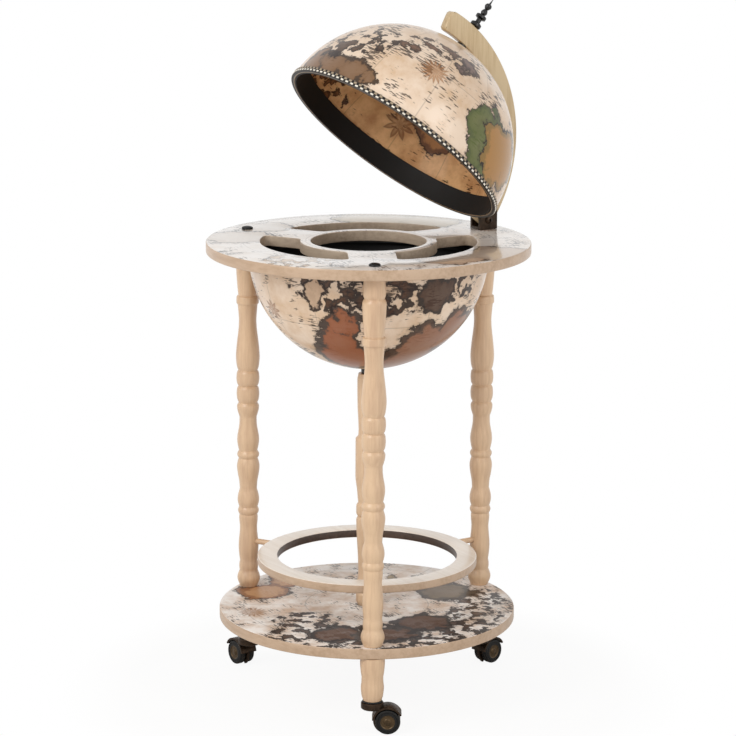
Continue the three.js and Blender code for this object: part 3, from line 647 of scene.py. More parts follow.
def printed(name, centre, turn, paper, aged, lands, roses, flat=False, roughness=0.3, coat=0.6, haze=0.08):
    """Printed paper under gloss lacquer, whose surface is faintly uneven."""
    material, tree, shader = new_material(name)
    place = node(
        tree, "Mapping",
        {
            "Vector": node(tree, "TexCoord").outputs["Object"], "Location": centre,
            "Rotation": (turn, 0, 0), "Scale": (GLOBE_RADIUS,) * 3,
        },
        vector_type="TEXTURE",
    ).outputs["Vector"]
    colour = old_map(tree, place, paper, aged, finishes().ink, lands, roses, flat)
    tree.links.new(colour, shader.inputs["Base Color"])
    waves = node(tree, "TexNoise", {"Vector": place, "Scale": 7.0, "Detail": 2.0})
    bump = node(tree, "Bump", {"Height": waves.outputs["Fac"], "Strength": 0.05, "Distance": 0.002})
    tree.links.new(bump.outputs["Normal"], shader.inputs["Coat Normal"])
    shader_values(
        shader, roughness=roughness, specular_ior_level=0.1, coat_weight=coat, coat_roughness=haze
    )
    return material


def coloured(name, colour, roughness, metallic=0.0, coat=0.0, wear=0.15, wear_scale=60.0, bump=0.0):
    """One colour with soft patches of handling, for lacquer, plating and plastic."""
    material, tree, shader = new_material(name)
    place = node(tree, "TexCoord").outputs["Object"]
    patches = node(tree, "TexNoise", {"Vector": place, "Scale": wear_scale, "Detail": 4.0, "Roughness": 0.6})
    darker = tuple(channel * (1 - wear) for channel in tuple(colour)[:3])
    lighter = tuple(min(1, channel * (1 + wear)) for channel in tuple(colour)[:3])
    tone = set_stops(
        node(tree, "ValToRGB", {"Fac": patches.outputs["Fac"]}), [(0.35, darker, 1), (0.65, lighter, 1)]
    )
    tree.links.new(tone.outputs["Color"], shader.inputs["Base Color"])
    rough = node(
        tree, "MapRange",
        {"Value": patches.outputs["Fac"], "To Min": roughness * 0.85, "To Max": roughness * 1.15},
    )
    tree.links.new(rough.outputs[0], shader.inputs["Roughness"])
    if bump:
        grit = node(tree, "TexNoise", {"Vector": place, "Scale": GRIT_SCALE, "Detail": 2.0})
        pits = node(tree, "Bump", {"Height": grit.outputs["Fac"], "Strength": bump, "Distance": 0.0002})
        tree.links.new(pits.outputs["Normal"], shader.inputs["Normal"])
    shader_values(shader, metallic=metallic, specular_ior_level=0.3, coat_weight=coat, coat_roughness=0.1)
    return material


def stand_for(piece, body, slot_name, *nodes):
    """Ties a finished piece to its body and hides the nodes that it stands for. The slot name is not used."""
    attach(piece, body)
    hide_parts(*nodes)
    return piece


# Turned outlines, from the lower end up: share of the length, share of the widest radius
LEG_RADIUS = 0.017
LEG_SHARES = [
    (0, 0.74), (0.024, 0.965), (0.046, 0.765), (0.06, 0.8), (0.075, 0.735), (0.118, 0.845),
    (0.173, 0.725), (0.202, 0.79), (0.211, 0.755), (0.222, 0.885), (0.233, 0.78), (0.255, 0.915),
    (0.286, 0.72), (0.307, 0.765), (0.329, 0.885), (0.352, 0.955), (0.375, 0.8), (0.386, 0.93),
    (0.397, 0.775), (0.43, 0.93), (0.477, 0.73), (0.495, 0.72), (0.525, 0.93), (0.536, 0.78),
    (0.549, 0.925), (0.562, 0.955), (0.576, 0.92), (0.584, 0.79), (0.594, 0.93), (0.607, 0.965),
    (0.621, 0.93), (0.629, 0.81), (0.644, 0.94), (0.668, 1), (0.698, 0.94), (0.77, 0.73),
    (0.802, 0.79), (0.817, 0.84), (0.822, 0.94), (0.839, 0.92), (0.843, 0.775), (0.908, 0.93),
    (0.931, 0.955), (0.944, 0.79), (0.956, 0.905), (1, 0.835),
]
FOOT_SHARES = [
    (0, 0.74), (0.1, 0.86), (0.3, 0.93), (0.42, 0.88), (0.54, 0.87), (0.72, 0.96), (0.88, 1), (1, 0.97),
]
COLUMN_RADIUS = 0.017
COLUMN_SHARES = [
    (0, 0.78), (0.02, 0.92), (0.045, 0.92), (0.06, 0.73), (0.075, 0.84), (0.15, 0.73), (0.37, 0.92),
    (0.385, 0.78), (0.4, 0.92), (0.43, 0.92), (0.445, 0.76), (0.5, 0.86), (0.56, 1), (0.72, 1),
    (0.735, 0.78), (0.76, 0.75), (0.8, 0.78), (0.85, 0.84), (0.93, 0.87), (0.975, 0.87), (1, 0.78),
]
FINIAL_RADIUS = 0.0082
FINIAL_HEIGHT = 0.050
FINIAL_SHARES = [
    (0, 0.5), (0.04, 0.98), (0.12, 0.98), (0.17, 0.45), (0.28, 0.45), (0.32, 0.95), (0.39, 0.95),
    (0.43, 0.35), (0.51, 0.58), (0.56, 0.5), (0.62, 0.28), (0.67, 0.5), (0.72, 0.62), (0.78, 0.5),
    (0.82, 0.18), (1, 0.05),
]
BEAD_CREASE = 0.012

# Studs and screws in legs, feet and post
STUD_RADIUS = 0.004
STUD_DEPTH = 0.022
SCREW_RADIUS = 0.003
LEG_SCREW_HOLE_DEPTH = 0.0353
FOOT_PIN_HOLE_DEPTH = 0.0203
POST_HOLE_DEPTH = 0.0253
COLLAR_ROUNDING = 0.0008
GLOBE_BOLT_HEAD = 0.004
PEG_TIP_SHARE = 0.8
PEG_BEVEL_SHARE = 0.3
SCREW_TIP_SHARE = 0.6
SCREW_POINT_SHARE = 0.5
HEAD_FOOT_SHARE = 0.97
HEAD_EDGE_SHARE = 0.15
SOCKET_SHARE = 0.42
SOCKET_FLOOR_SHARE = 0.4


def turned_post(name, shares, radius, length, low_hole, high_hole):
    """A turned post standing on height 0, with a blind hole of radius and depth in each end."""
    points = [(length * height, radius * width) for height, width in shares]
    points = eased(points, sizes().outline_steps, BEAD_CREASE)
    outline = [(0, low_hole[1]), (low_hole[0], low_hole[1]), (low_hole[0], 0)]
    outline += [(width, height) for height, width in points]
    outline += [(high_hole[0], length), (high_hole[0], length - high_hole[1]), (0, length - high_hole[1])]
    return turned(name, outline, sizes().turned_sides)


class GLOBEBAR_OT_legs(bpy.types.Operator):
    """Three turned legs between shelf and table board, and the pegs that hold the ring to them"""

    bl_idname = "globe_bar.legs"
    bl_label = "Legs and Ring Pegs"

    def execute(self, context):
        low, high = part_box("leg_front")
        model = turned_post(
            "turned_leg", LEG_SHARES, LEG_RADIUS, high.z - low.z,
            (STUD_RADIUS + SEAT, STUD_DEPTH + SEAT), (SCREW_RADIUS + SEAT, LEG_SCREW_HOLE_DEPTH),
        )
        for name in STATIONS:
            outwards = (LEG_PLACES[name] - AXIS).normalized()
            leg = settled(copied(model, f"turned_leg_{name}"), over_leg(name, low.z))
            peg_low, peg_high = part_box(f"ring_peg_{name}")
            height = (peg_low.z + peg_high.z) / 2
            radius = (peg_high.z - peg_low.z) / 2
            start, end = (
                Vector((*(AXIS + outwards * reach).xy, height))
                for reach in (RING_OUTER - PEG_IN_RING, LEG_REACH - PEG_SHORT_OF_LEG)
            )
            mouth = end + outwards * SEAT - outwards * LEG_RADIUS
            smoothed(bored(leg, radius + SEAT, LEG_RADIUS, mouth, outwards))
            length = (end - start).length
            bevel = radius * PEG_BEVEL_SHARE
            outline = [(0, 0), (radius * PEG_TIP_SHARE, 0), (radius, bevel), (radius, length - bevel)]
            outline += [(radius * PEG_TIP_SHARE, length), (0, length)]
            peg = turned(f"wooden_ring_peg_{name}", outline, sizes().small_sides)
            turn = outwards.to_track_quat("Z", "Y").to_matrix().to_4x4()
            settled(peg, Matrix.Translation(start) @ turn)
            stand_for(dressed(leg, [turned_beech()]), "stand", "turned_wood", f"leg_{name}")
            stand_for(dressed(peg, [turned_beech()]), "stand", "turned_wood", f"ring_peg_{name}")
        bpy.data.objects.remove(model)
        return {"FINISHED"}


class GLOBEBAR_OT_feet(bpy.types.Operator):
    """Three turned feet under the shelf"""

    bl_idname = "globe_bar.feet"
    bl_label = "Feet"

    def execute(self, context):
        low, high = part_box("foot_front")
        model = turned_post(
            "turned_foot", FOOT_SHARES, LEG_RADIUS, high.z - low.z,
            (STUD_RADIUS + SEAT, FOOT_PIN_HOLE_DEPTH), (STUD_RADIUS + SEAT, STUD_DEPTH + SEAT),
        )
        for name in STATIONS:
            foot = settled(copied(model, f"turned_foot_{name}"), over_leg(name, low.z))
            stand_for(dressed(foot, [turned_beech()]), "stand", "turned_wood", f"foot_{name}")
        bpy.data.objects.remove(model)
        return {"FINISHED"}


class GLOBEBAR_OT_column(bpy.types.Operator):
    """The turned post in the middle, its dark collar and the bolt head inside the lower half globe"""

    bl_idname = "globe_bar.column"
    bl_label = "Middle Post"

    def execute(self, context):
        low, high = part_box("column")
        post = turned_post(
            "turned_post", COLUMN_SHARES, COLUMN_RADIUS, high.z - low.z,
            (SCREW_RADIUS + SEAT, POST_HOLE_DEPTH), (STUD_RADIUS + SEAT, POST_HOLE_DEPTH),
        )
        settled(post, on_axis(low.z))
        stand_for(dressed(post, [turned_beech()]), "stand", "turned_wood", "column")

        low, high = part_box("column_collar")
        radius = (high.x - low.x) / 2
        outline = rounded_box_outline(STUD_RADIUS + SEAT, radius, 0, high.z - low.z, COLLAR_ROUNDING)
        collar = settled(turned("dark_collar", outline, sizes().small_sides), on_axis(low.z))
        stand_for(dressed(collar, [black_lacquer()]), "stand", "black_metal", "column_collar")

        low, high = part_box("column_bolt")
        radius = (high.x - low.x) / 2
        bolt = screw_with_head("globe_bolt", STUD_RADIUS, radius, GLOBE_BOLT_HEAD, high.z - low.z)
        settled(bolt, on_axis(low.z))
        stand_for(dressed(bolt, [zinc()]), "stand", "steel", "column_bolt")
        return {"FINISHED"}


def screw_with_head(name, radius, head_radius, head_height, length):
    """A screw standing on its tip, with a domed head and a hexagon socket in it."""
    neck = length - head_height
    outline = [(0, 0), (radius * SCREW_TIP_SHARE, 0), (radius, radius * SCREW_POINT_SHARE), (radius, neck)]
    outline += [(head_radius * HEAD_FOOT_SHARE, neck), (head_radius, neck + head_height * HEAD_EDGE_SHARE)]
    for turn in range(15, 76, 15):
        rise = HEAD_EDGE_SHARE + (1 - HEAD_EDGE_SHARE) * math.sin(math.radians(turn))
        outline.append((head_radius * math.cos(math.radians(turn)), neck + head_height * rise))
    outline.append((0, length))
    screw = turned(name, outline, sizes().small_sides)
    socket_floor = (0, 0, neck + head_height * SOCKET_FLOOR_SHARE)
    return smoothed(bored(screw, head_radius * SOCKET_SHARE, head_height, socket_floor, UP, 6))


def turned_beech():
    """Turned beech under clear lacquer: pale, with its grain along the post."""
    name = "Turned beech, lacquered"
    return bpy.data.materials.get(name) or beech(name, finishes().beech, finishes().beech_grain, 2)


def black_lacquer():
    """Black lacquered metal: deep black with a soft gloss, handled dull in patches."""
    name = "Black lacquered metal"
    return bpy.data.materials.get(name) or coloured(name, finishes().black, 0.3, coat=0.3)


def black_plastic():
    """Moulded black plastic: satin, with the faint grain of its mould."""
    name = "Moulded black plastic"
    return bpy.data.materials.get(name) or coloured(name, finishes().black, 0.42, bump=0.12)


def antique_bronze():
    """Antique bronze plating: a dark brown metal, patchy where it was rubbed back."""
    name = "Antique bronze plating"
    return bpy.data.materials.get(name) or coloured(
        name, finishes().bronze, 0.36, metallic=0.6, wear=0.4, wear_scale=90.0
    )


def zinc():
    """Zinc plated steel: pale grey metal, slightly cloudy."""
    name = "Zinc plated steel"
    return bpy.data.materials.get(name) or coloured(
        name, finishes().steel, 0.3, metallic=1.0, wear=0.12, wear_scale=150.0
    )


def board_edge():
    """Pale lacquered edge of a board: fine straight grain."""
    name = "Board edge, lacquered"
    return bpy.data.materials.get(name) or beech(name, finishes().board_wood, linear("#AB8E72"), 0, 0.4, 0.3)


def cut_wall():
    """Walls sawn through a board: the same wood, greyer because the lacquer soaked in."""
    name = "Sawn wall of a board"
    return bpy.data.materials.get(name) or beech(name, linear("#B7A48F"), linear("#9C8976"), 0, 0.55, 0.1)


# Boards, ring and pegs
LEG_REACH = (LEG_PLACES["hinge"] - AXIS).length
RING_OUTER = LEG_REACH - 0.0385
RING_WIDTH = 0.028
PEG_IN_RING = 0.0087
PEG_SHORT_OF_LEG = 0.0063
PEG_HOLE = 0.0043
PEG_DRILL = 0.02
SLOT_FINENESS = 10
LEG_SCREW_HOLE = 0.0033
CAP_HOLE = 0.0049
BOARD_DRILL = 0.05
FLAT_FACE = 0.9
RING_FACE = 0.7


def kidney_slot(direction):
    """The outline of one slot of the table board between two spokes, its corners eased."""
    spread = math.pi / len(STATIONS)
    inner_spread = spread - math.asin(SPOKE_HALF / SLOT_INNER)
    outer_spread = spread - math.asin(SPOKE_HALF / SLOT_OUTER)
    ease = SLOT_CORNER_SHARE * outer_spread
    share = 2 * SLOT_CORNER_SHARE

    def rim(radius, start, end):
        return [Vector(point) for point in arc(radius, start, end, 3 * SLOT_FINENESS)]

    def side(sign):
        inner_tip = polar(SLOT_INNER, direction + sign * inner_spread)
        outer_tip = polar(SLOT_OUTER, direction + sign * outer_spread)
        whole = outer_tip - inner_tip
        return inner_tip, inner_tip + share * whole, inner_tip + (1 - share) * whole, outer_tip

    front = rim(SLOT_OUTER, direction - outer_spread + ease, direction + outer_spread - ease)
    back = rim(SLOT_INNER, direction + inner_spread - ease, direction - inner_spread + ease)
    inner_tip, inner_end, outer_end, outer_tip = side(1)
    points = front + bend(front[-1], outer_tip, outer_end, SLOT_FINENESS) + [outer_end, inner_end]
    points += bend(inner_end, inner_tip, back[0], SLOT_FINENESS) + back
    inner_tip, inner_end, outer_end, outer_tip = side(-1)
    points += bend(back[-1], inner_tip, inner_end, SLOT_FINENESS) + [inner_end, outer_end]
    points += bend(outer_end, outer_tip, front[0], SLOT_FINENESS)
    return [tuple(point) for point in points]


def printed_above(middle_of_face, normal):
    """Picks the print for the top, the edge wood for outside and below, and the sawn wood for openings."""
    if normal.z > FLAT_FACE:
        return 0
    return 1 if (middle_of_face - AXIS).xy.length > SLOT_OUTER + MM or normal.z < -FLAT_FACE else 2


# Invented lands: blobs of middle and radius in globe radii, shore colour, inland colour, broken or whole.
# Roses: middle and radius in globe radii, number of points, colour.
BOARD_LANDS = [
    ([((0.95, 0.15, 0), 0.34), ((1.05, 0.6, 0), 0.3)], "#B39D8A", "#C6B09C", False),
    ([((-0.9, 0.65, 0), 0.36), ((-0.55, 0.95, 0), 0.3)], "#B5A88C", "#CFC0A8", False),
    ([((-0.7, -0.85, 0), 0.3), ((-1.0, -0.4, 0), 0.24)], "#CFC2B4", "#DDD2C6", False),
    ([((0.5, -0.95, 0), 0.3)], "#B89A7A", "#D0B494", True),
]
BOARD_ROSES = [((0.05, 1.15, 0), 0.11, 16, "#A9794D")]
SHELF_LANDS = [
    ([((0.5, -0.85, 0), 0.34), ((0.85, -0.5, 0), 0.38), ((1.0, -0.05, 0), 0.34), ((0.2, -0.7, 0), 0.3),
      ((1.0, 0.32, 0), 0.26)],
     "#1E110A", "#42291A", True),
    ([((0.6, -0.66, 0), 0.22), ((0.8, -0.3, 0), 0.24), ((0.7, 0.12, 0), 0.24)],
     "#26160D", "#5A3820", False),
    ([((0.72, 0.6, 0), 0.26), ((0.4, 0.88, 0), 0.24)], "#33241A", "#5C4534", True),
    ([((-0.75, -0.55, 0), 0.24), ((-0.95, -0.2, 0), 0.2)], "#8A5A36", "#B98C62", False),
    ([((0.06, 0.78, 0), 0.25), ((-0.3, 0.85, 0), 0.2)], "#473A2B", "#6E5C45", False),
    ([((-0.5, 0.35, 0), 0.3)], "#7D6A4A", "#A58C64", True),
]
SHELF_ROSES = [((-0.3, -0.95, 0), 0.13, 16, "#9A6B42"), ((-0.35, 0.1, 0), 0.1, 8, "#8C6A48")]


class GLOBEBAR_OT_boards(bpy.types.Operator):
    """The table board with its four openings, and the shelf"""

    bl_idname = "globe_bar.boards"
    bl_label = "Table Board and Shelf"

    def execute(self, context):
        rounding = sizes().board_rounding
        sides = sizes().board_sides
        rims = [circle(BOARD_RADIUS, sides), circle(CENTRE_HOLE, sides // 2)]
        for name in STATIONS:
            leg = LEG_PLACES[name] - AXIS
            rims.append(kidney_slot(math.atan2(leg.y, leg.x) + math.pi / len(STATIONS)))
        board = plate("printed_table_board", rims, BOARD_HIGH.z - BOARD_LOW.z, rounding)
        settled(board, on_axis(BOARD_LOW.z))
        shelf = plate("printed_shelf", [circle(SHELF_RADIUS, sides)], SHELF_HIGH.z - SHELF_LOW.z, rounding)
        settled(shelf, on_axis(SHELF_LOW.z))

        for name in STATIONS:
            x, y = LEG_PLACES[name].xy
            radius = LEG_SCREW_HOLE if name == "hinge" else CAP_HOLE
            bored(board, radius, BOARD_DRILL, (x, y, BOARD_LOW.z - DRILL_RUN_IN), UP)
            bored(shelf, STUD_RADIUS + SEAT, BOARD_DRILL, (x, y, SHELF_LOW.z - DRILL_RUN_IN), UP)
        bored(shelf, SCREW_RADIUS + SEAT, BOARD_DRILL, (0, AXIS.y, SHELF_LOW.z - DRILL_RUN_IN), UP)

        board_print = printed(
            "Printed table board", (0, AXIS.y, BOARD_HIGH.z), 0, finishes().board_paper, linear("#E9DDD0"),
            BOARD_LANDS, BOARD_ROSES, flat=True, coat=0.9,
        )
        shelf_print = printed(
            "Printed shelf", (0, AXIS.y, SHELF_HIGH.z), 0, finishes().board_paper, linear("#CDB29A"),
            SHELF_LANDS, SHELF_ROSES, flat=True, roughness=0.4, coat=0.1,
        )
        for piece, top, stood_for in ((board, board_print, "table_top"), (shelf, shelf_print, "shelf")):
            dressed(smoothed(piece), [top, board_edge(), cut_wall()], printed_above)
            stand_for(piece, "stand", "printed_board", stood_for)
        return {"FINISHED"}


class GLOBEBAR_OT_ring(bpy.types.Operator):
    """The flat ring that keeps bottles on the shelf"""

    bl_idname = "globe_bar.ring"
    bl_label = "Bottle Ring"

    def execute(self, context):
        low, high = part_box("bottle_ring")
        rounding = sizes().board_rounding
        outline = rounded_box_outline(RING_OUTER - RING_WIDTH, RING_OUTER, 0, high.z - low.z, rounding)
        ring = settled(turned("bottle_ring_board", outline, sizes().board_sides), on_axis(low.z))
        height = (low.z + high.z) / 2
        for name in STATIONS:
            outwards = (LEG_PLACES[name] - AXIS).normalized()
            start = Vector((*(AXIS + outwards * (RING_OUTER - PEG_IN_RING - SEAT)).xy, height))
            bored(ring, PEG_HOLE, PEG_DRILL, start, outwards)
        smoothed(ring)
        face = beech("Pale face of the bottle ring", linear("#F0E6DA"), linear("#E4D7C7"), 0, 0.35, 0.4)
        # The inner wall of the ring is coloured dark brown all round.
        dark_wall_name = "Dark brown inner wall of the bottle ring"
        inside = beech(dark_wall_name, linear("#4C3A30"), linear("#35271F"), 0, 0.45, 0.2)

        def side(place, normal):
            if normal.z > RING_FACE:
                return 0
            inwards = (place - AXIS).xy.length < RING_OUTER - RING_WIDTH / 2
            return 2 if inwards and abs(normal.z) < RING_FACE else 1

        stand_for(dressed(ring, [face, board_edge(), inside], side), "stand", "printed_board", "bottle_ring")
        return {"FINISHED"}


# Half globes
LOWER_LANDS = [
    ([((0.62, -0.64, -0.45), 0.15), ((0.50, -0.58, -0.64), 0.21), ((0.40, -0.42, -0.82), 0.3)],
     "#3A2A22", "#91502C", False),
    ([((0.74, 0.05, -0.68), 0.24), ((0.70, 0.36, -0.62), 0.26), ((0.5, 0.05, -0.87), 0.34)],
     "#452E20", "#8C5D42", False),
    ([((0.66, -0.73, -0.15), 0.24), ((0.90, -0.38, -0.17), 0.27), ((0.4, -0.9, -0.1), 0.14),
      ((0.9, 0.4, -0.14), 0.14)],
     "#26130A", "#472812", True),
    ([((0.96, 0.02, -0.24), 0.15), ((0.95, 0.14, -0.22), 0.12)], "#1F0F07", "#432818", False),
    ([((0.51, -0.84, -0.21), 0.12)], "#2A180E", "#C4A68A", False),
    ([((-0.45, -0.82, -0.38), 0.22)], "#8A5A36", "#C09A74", True),
    ([((-0.85, -0.35, -0.38), 0.34), ((-0.7, -0.5, -0.6), 0.3)], "#5A6438", "#A97B4C", False),
    ([((-0.75, 0.5, -0.4), 0.36)], "#5A3A26", "#9A6540", False),
    ([((0.15, 0.9, -0.4), 0.36), ((-0.1, 0.75, -0.65), 0.3)], "#6B5838", "#B08D5E", False),
]
LOWER_ROSES = [((-0.02, -0.9, -0.42), 0.1, 8, "#8C5A34"), ((0.55, 0.75, -0.36), 0.12, 16, "#8C5A34")]
DOME_LANDS = [
    ([((0.90, 0.24, 0.36), 0.24), ((0.84, 0.44, 0.34), 0.26), ((0.93, 0.03, 0.37), 0.17),
      ((0.97, 0.1, 0.21), 0.16), ((0.94, 0.3, 0.1), 0.15)],
     "#465224", "#56602C", False),
    ([((0.89, 0.3, 0.33), 0.24), ((0.84, 0.46, 0.32), 0.26), ((0.91, 0.38, 0.14), 0.13)],
     "#8A6A34", "#AA7A40", False),
    ([((-0.14, -0.98, 0.1), 0.16), ((0.12, -0.98, 0.09), 0.18), ((0.34, -0.93, 0.13), 0.15),
      ((0.5, -0.86, 0.13), 0.1)],
     "#38230F", "#755334", False),
    ([((-0.02, -0.95, 0.32), 0.16), ((0.14, -0.9, 0.4), 0.18), ((0.3, -0.84, 0.46), 0.15),
      ((0.16, -0.83, 0.54), 0.12)],
     "#241106", "#452A14", True),
    ([((0.44, -0.67, 0.6), 0.13), ((0.52, -0.5, 0.69), 0.13), ((0.56, -0.4, 0.73), 0.1)],
     "#4A3222", "#6B4A36", True),
    ([((0.67, -0.2, 0.71), 0.1)], "#3E2E2A", "#6E5850", False),
    ([((-0.62, -0.3, 0.72), 0.34), ((-0.8, -0.05, 0.6), 0.3)], "#56642F", "#B58B54", False),
    ([((-0.8, 0.5, 0.3), 0.28), ((-0.6, 0.7, 0.35), 0.25)], "#5A3A26", "#A46E42", False),
    ([((0.25, 0.65, 0.7), 0.3), ((0.1, 0.9, 0.4), 0.26)], "#6B5838", "#AC8A5C", False),
    ([((-0.75, -0.62, 0.2), 0.22)], "#4A3222", "#7A583C", True),
]
DOME_ROSES = [
    ((0.72, -0.5, 0.48), 0.13, 16, "#A56F3E"),
    ((-0.3, -0.82, 0.49), 0.12, 8, "#8C5A34"),
    ((-0.2, 0.35, 0.91), 0.13, 16, "#A56F3E"),
]
INNER_LANDS = [
    ([((-0.97, -0.2, 0.2), 0.2), ((-0.9, -0.4, 0.3), 0.2)], "#4A2E1A", "#7A4E2E", True),
    ([((-0.5, 0.6, 0.62), 0.28)], "#6B4630", "#A8764A", False),
    ([((-0.3, -0.6, 0.74), 0.36)], "#5B3A22", "#9A6B44", False),
    ([((0.7, -0.3, 0.64), 0.36)], "#5B4A2A", "#A17C4C", False),
    ([((0.5, 0.6, 0.62), 0.3)], "#5B3A22", "#9A6B44", False),
]
INNER_ROSES = [((-0.80, 0.42, 0.42), 0.15, 8, "#7A4F2E"), ((0.2, 0.1, 0.97), 0.15, 16, "#7A4F2E")]
SPHERE_SIDES = 128
SHELL_DRILL = 0.02
LOWER_DRILL_RUN_IN = 0.005
SHELL_SMOOTH_DEGREES = 50
OUTSIDE_SHARE = 0.1
FACE_OF_SHELL = 0.5


def half_globe(name, rim_height, upper):
    """A half globe shell with its centre at the origin."""
    bpy.ops.object.select_all(action="DESELECT")
    bpy.ops.mesh.primitive_uv_sphere_add(
        segments=SPHERE_SIDES, ring_count=SPHERE_SIDES // 2, radius=GLOBE_RADIUS
    )
    shell = bpy.context.active_object
    shell.name = name
    shell.data.name = name
    bpy.ops.object.mode_set(mode="EDIT")
    bpy.ops.mesh.select_all(action="SELECT")
    bpy.ops.mesh.bisect(
        plane_co=(0, 0, rim_height), plane_no=(0, 0, 1), clear_inner=upper, clear_outer=not upper
    )
    merged()
    bpy.ops.object.mode_set(mode="OBJECT")
    return modified(shell, "SOLIDIFY", thickness=GLOBE_WALL, offset=-1, use_even_offset=True)


class GLOBEBAR_OT_lower_globe(bpy.types.Operator):
    """The lower half globe, printed outside and black inside"""

    bl_idname = "globe_bar.lower_globe"
    bl_label = "Lower Half Globe"

    def execute(self, context):
        shell = half_globe("lower_half_globe", -LOWER_SHORTFALL, upper=False)
        bored(shell, STUD_RADIUS + SEAT, SHELL_DRILL, (0, 0, -GLOBE_RADIUS - LOWER_DRILL_RUN_IN), UP)
        smoothed(shell, SHELL_SMOOTH_DEGREES)
        settled(shell, Matrix.Translation(LOWER_CENTRE))
        outside = printed(
            "Printed lower globe", LOWER_CENTRE, 0, finishes().paper, finishes().paper_age,
            LOWER_LANDS, LOWER_ROSES, coat=0.45, haze=0.2,
        )
        inside = coloured("Black globe inside", finishes().black, 0.45, bump=0.05)

        def side(place, normal):
            return 0 if (place - LOWER_CENTRE).dot(normal) > OUTSIDE_SHARE * GLOBE_RADIUS else 1

        stand_for(dressed(shell, [outside, inside], side), "stand", "printed_globe", "lower_globe")
        return {"FINISHED"}


def rim_of_lid(centre):
    """The shell's cut edge: blackened, with a thin pale line of bare edge by the inside."""
    material, tree, shader = new_material("Cut edge of the shell")
    place = node(tree, "TexCoord").outputs["Object"]
    away = node(tree, "VectorMath", {0: place, 1: centre}, operation="DISTANCE").outputs["Value"]
    inner = GLOBE_RADIUS - GLOBE_WALL
    across = node(tree, "MapRange", {"Value": away, "From Min": inner, "From Max": GLOBE_RADIUS}).outputs[0]
    pale, dark = linear("#8D7A63"), linear("#1A1512")
    stops = [(0.0, dark, 1), (0.05, pale, 1), (0.32, pale, 1), (0.38, dark, 1)]
    tone = set_stops(node(tree, "ValToRGB", {"Fac": across}), stops)
    tree.links.new(tone.outputs["Color"], shader.inputs["Base Color"])
    shader_values(shader, roughness=0.5)
    return material


class GLOBEBAR_OT_dome(bpy.types.Operator):
    """The upper half globe that opens as the lid, printed on both sides"""

    bl_idname = "globe_bar.dome"
    bl_label = "Lid Half Globe"

    def execute(self, context):
        shell = half_globe("lid_half_globe", 0, upper=True)
        start = GLOBE_RADIUS - DRILL_RUN_IN
        bored(shell, POLE_HOLE, SHELL_DRILL, UP * start, UP)
        bored(shell, RIM_SCREW_HOLE, SHELL_DRILL, RIM_SCREW_WAY * start, RIM_SCREW_WAY)
        smoothed(shell, SHELL_SMOOTH_DEGREES)
        outside = printed(
            "Printed lid", LID_CENTRE, -LID_OPEN, finishes().paper, finishes().paper_age,
            DOME_LANDS, DOME_ROSES, coat=0.5, haze=0.15,
        )
        inside = printed(
            "Printed lid inside", LID_CENTRE, -LID_OPEN, finishes().inner_paper, finishes().inner_paper_age,
            INNER_LANDS, INNER_ROSES, roughness=0.55, coat=0.12,
        )

        def side(place, normal):
            facing = place.normalized().dot(normal)
            if facing > FACE_OF_SHELL:
                return 0
            return 1 if facing < -FACE_OF_SHELL else 2

        dressed(shell, [outside, inside, rim_of_lid(LID_CENTRE)], side)
        settled(shell, SHUT_TO_OPEN)
        stand_for(shell, "lid", "printed_globe", "dome")
        return {"FINISHED"}


# Bands of the lid's rim
RIM_BAND_START = GLOBE_RADIUS + SEAT
RIM_BAND_HEIGHT = 0.007
RIM_BAND_DEPTH = 0.0017
RIM_BAND_ROUNDING = 0.0003
CHECK_PROUD = 0.0006
CHECK_ROWS = ((0.0007, 0.0031), (0.0037, 0.0065))
CHECK_WIDTH_SHARE = 0.52
LINING_RADIUS = 0.1621
LINING_THICKNESS = 0.0015
LINING_HEIGHT = 0.030


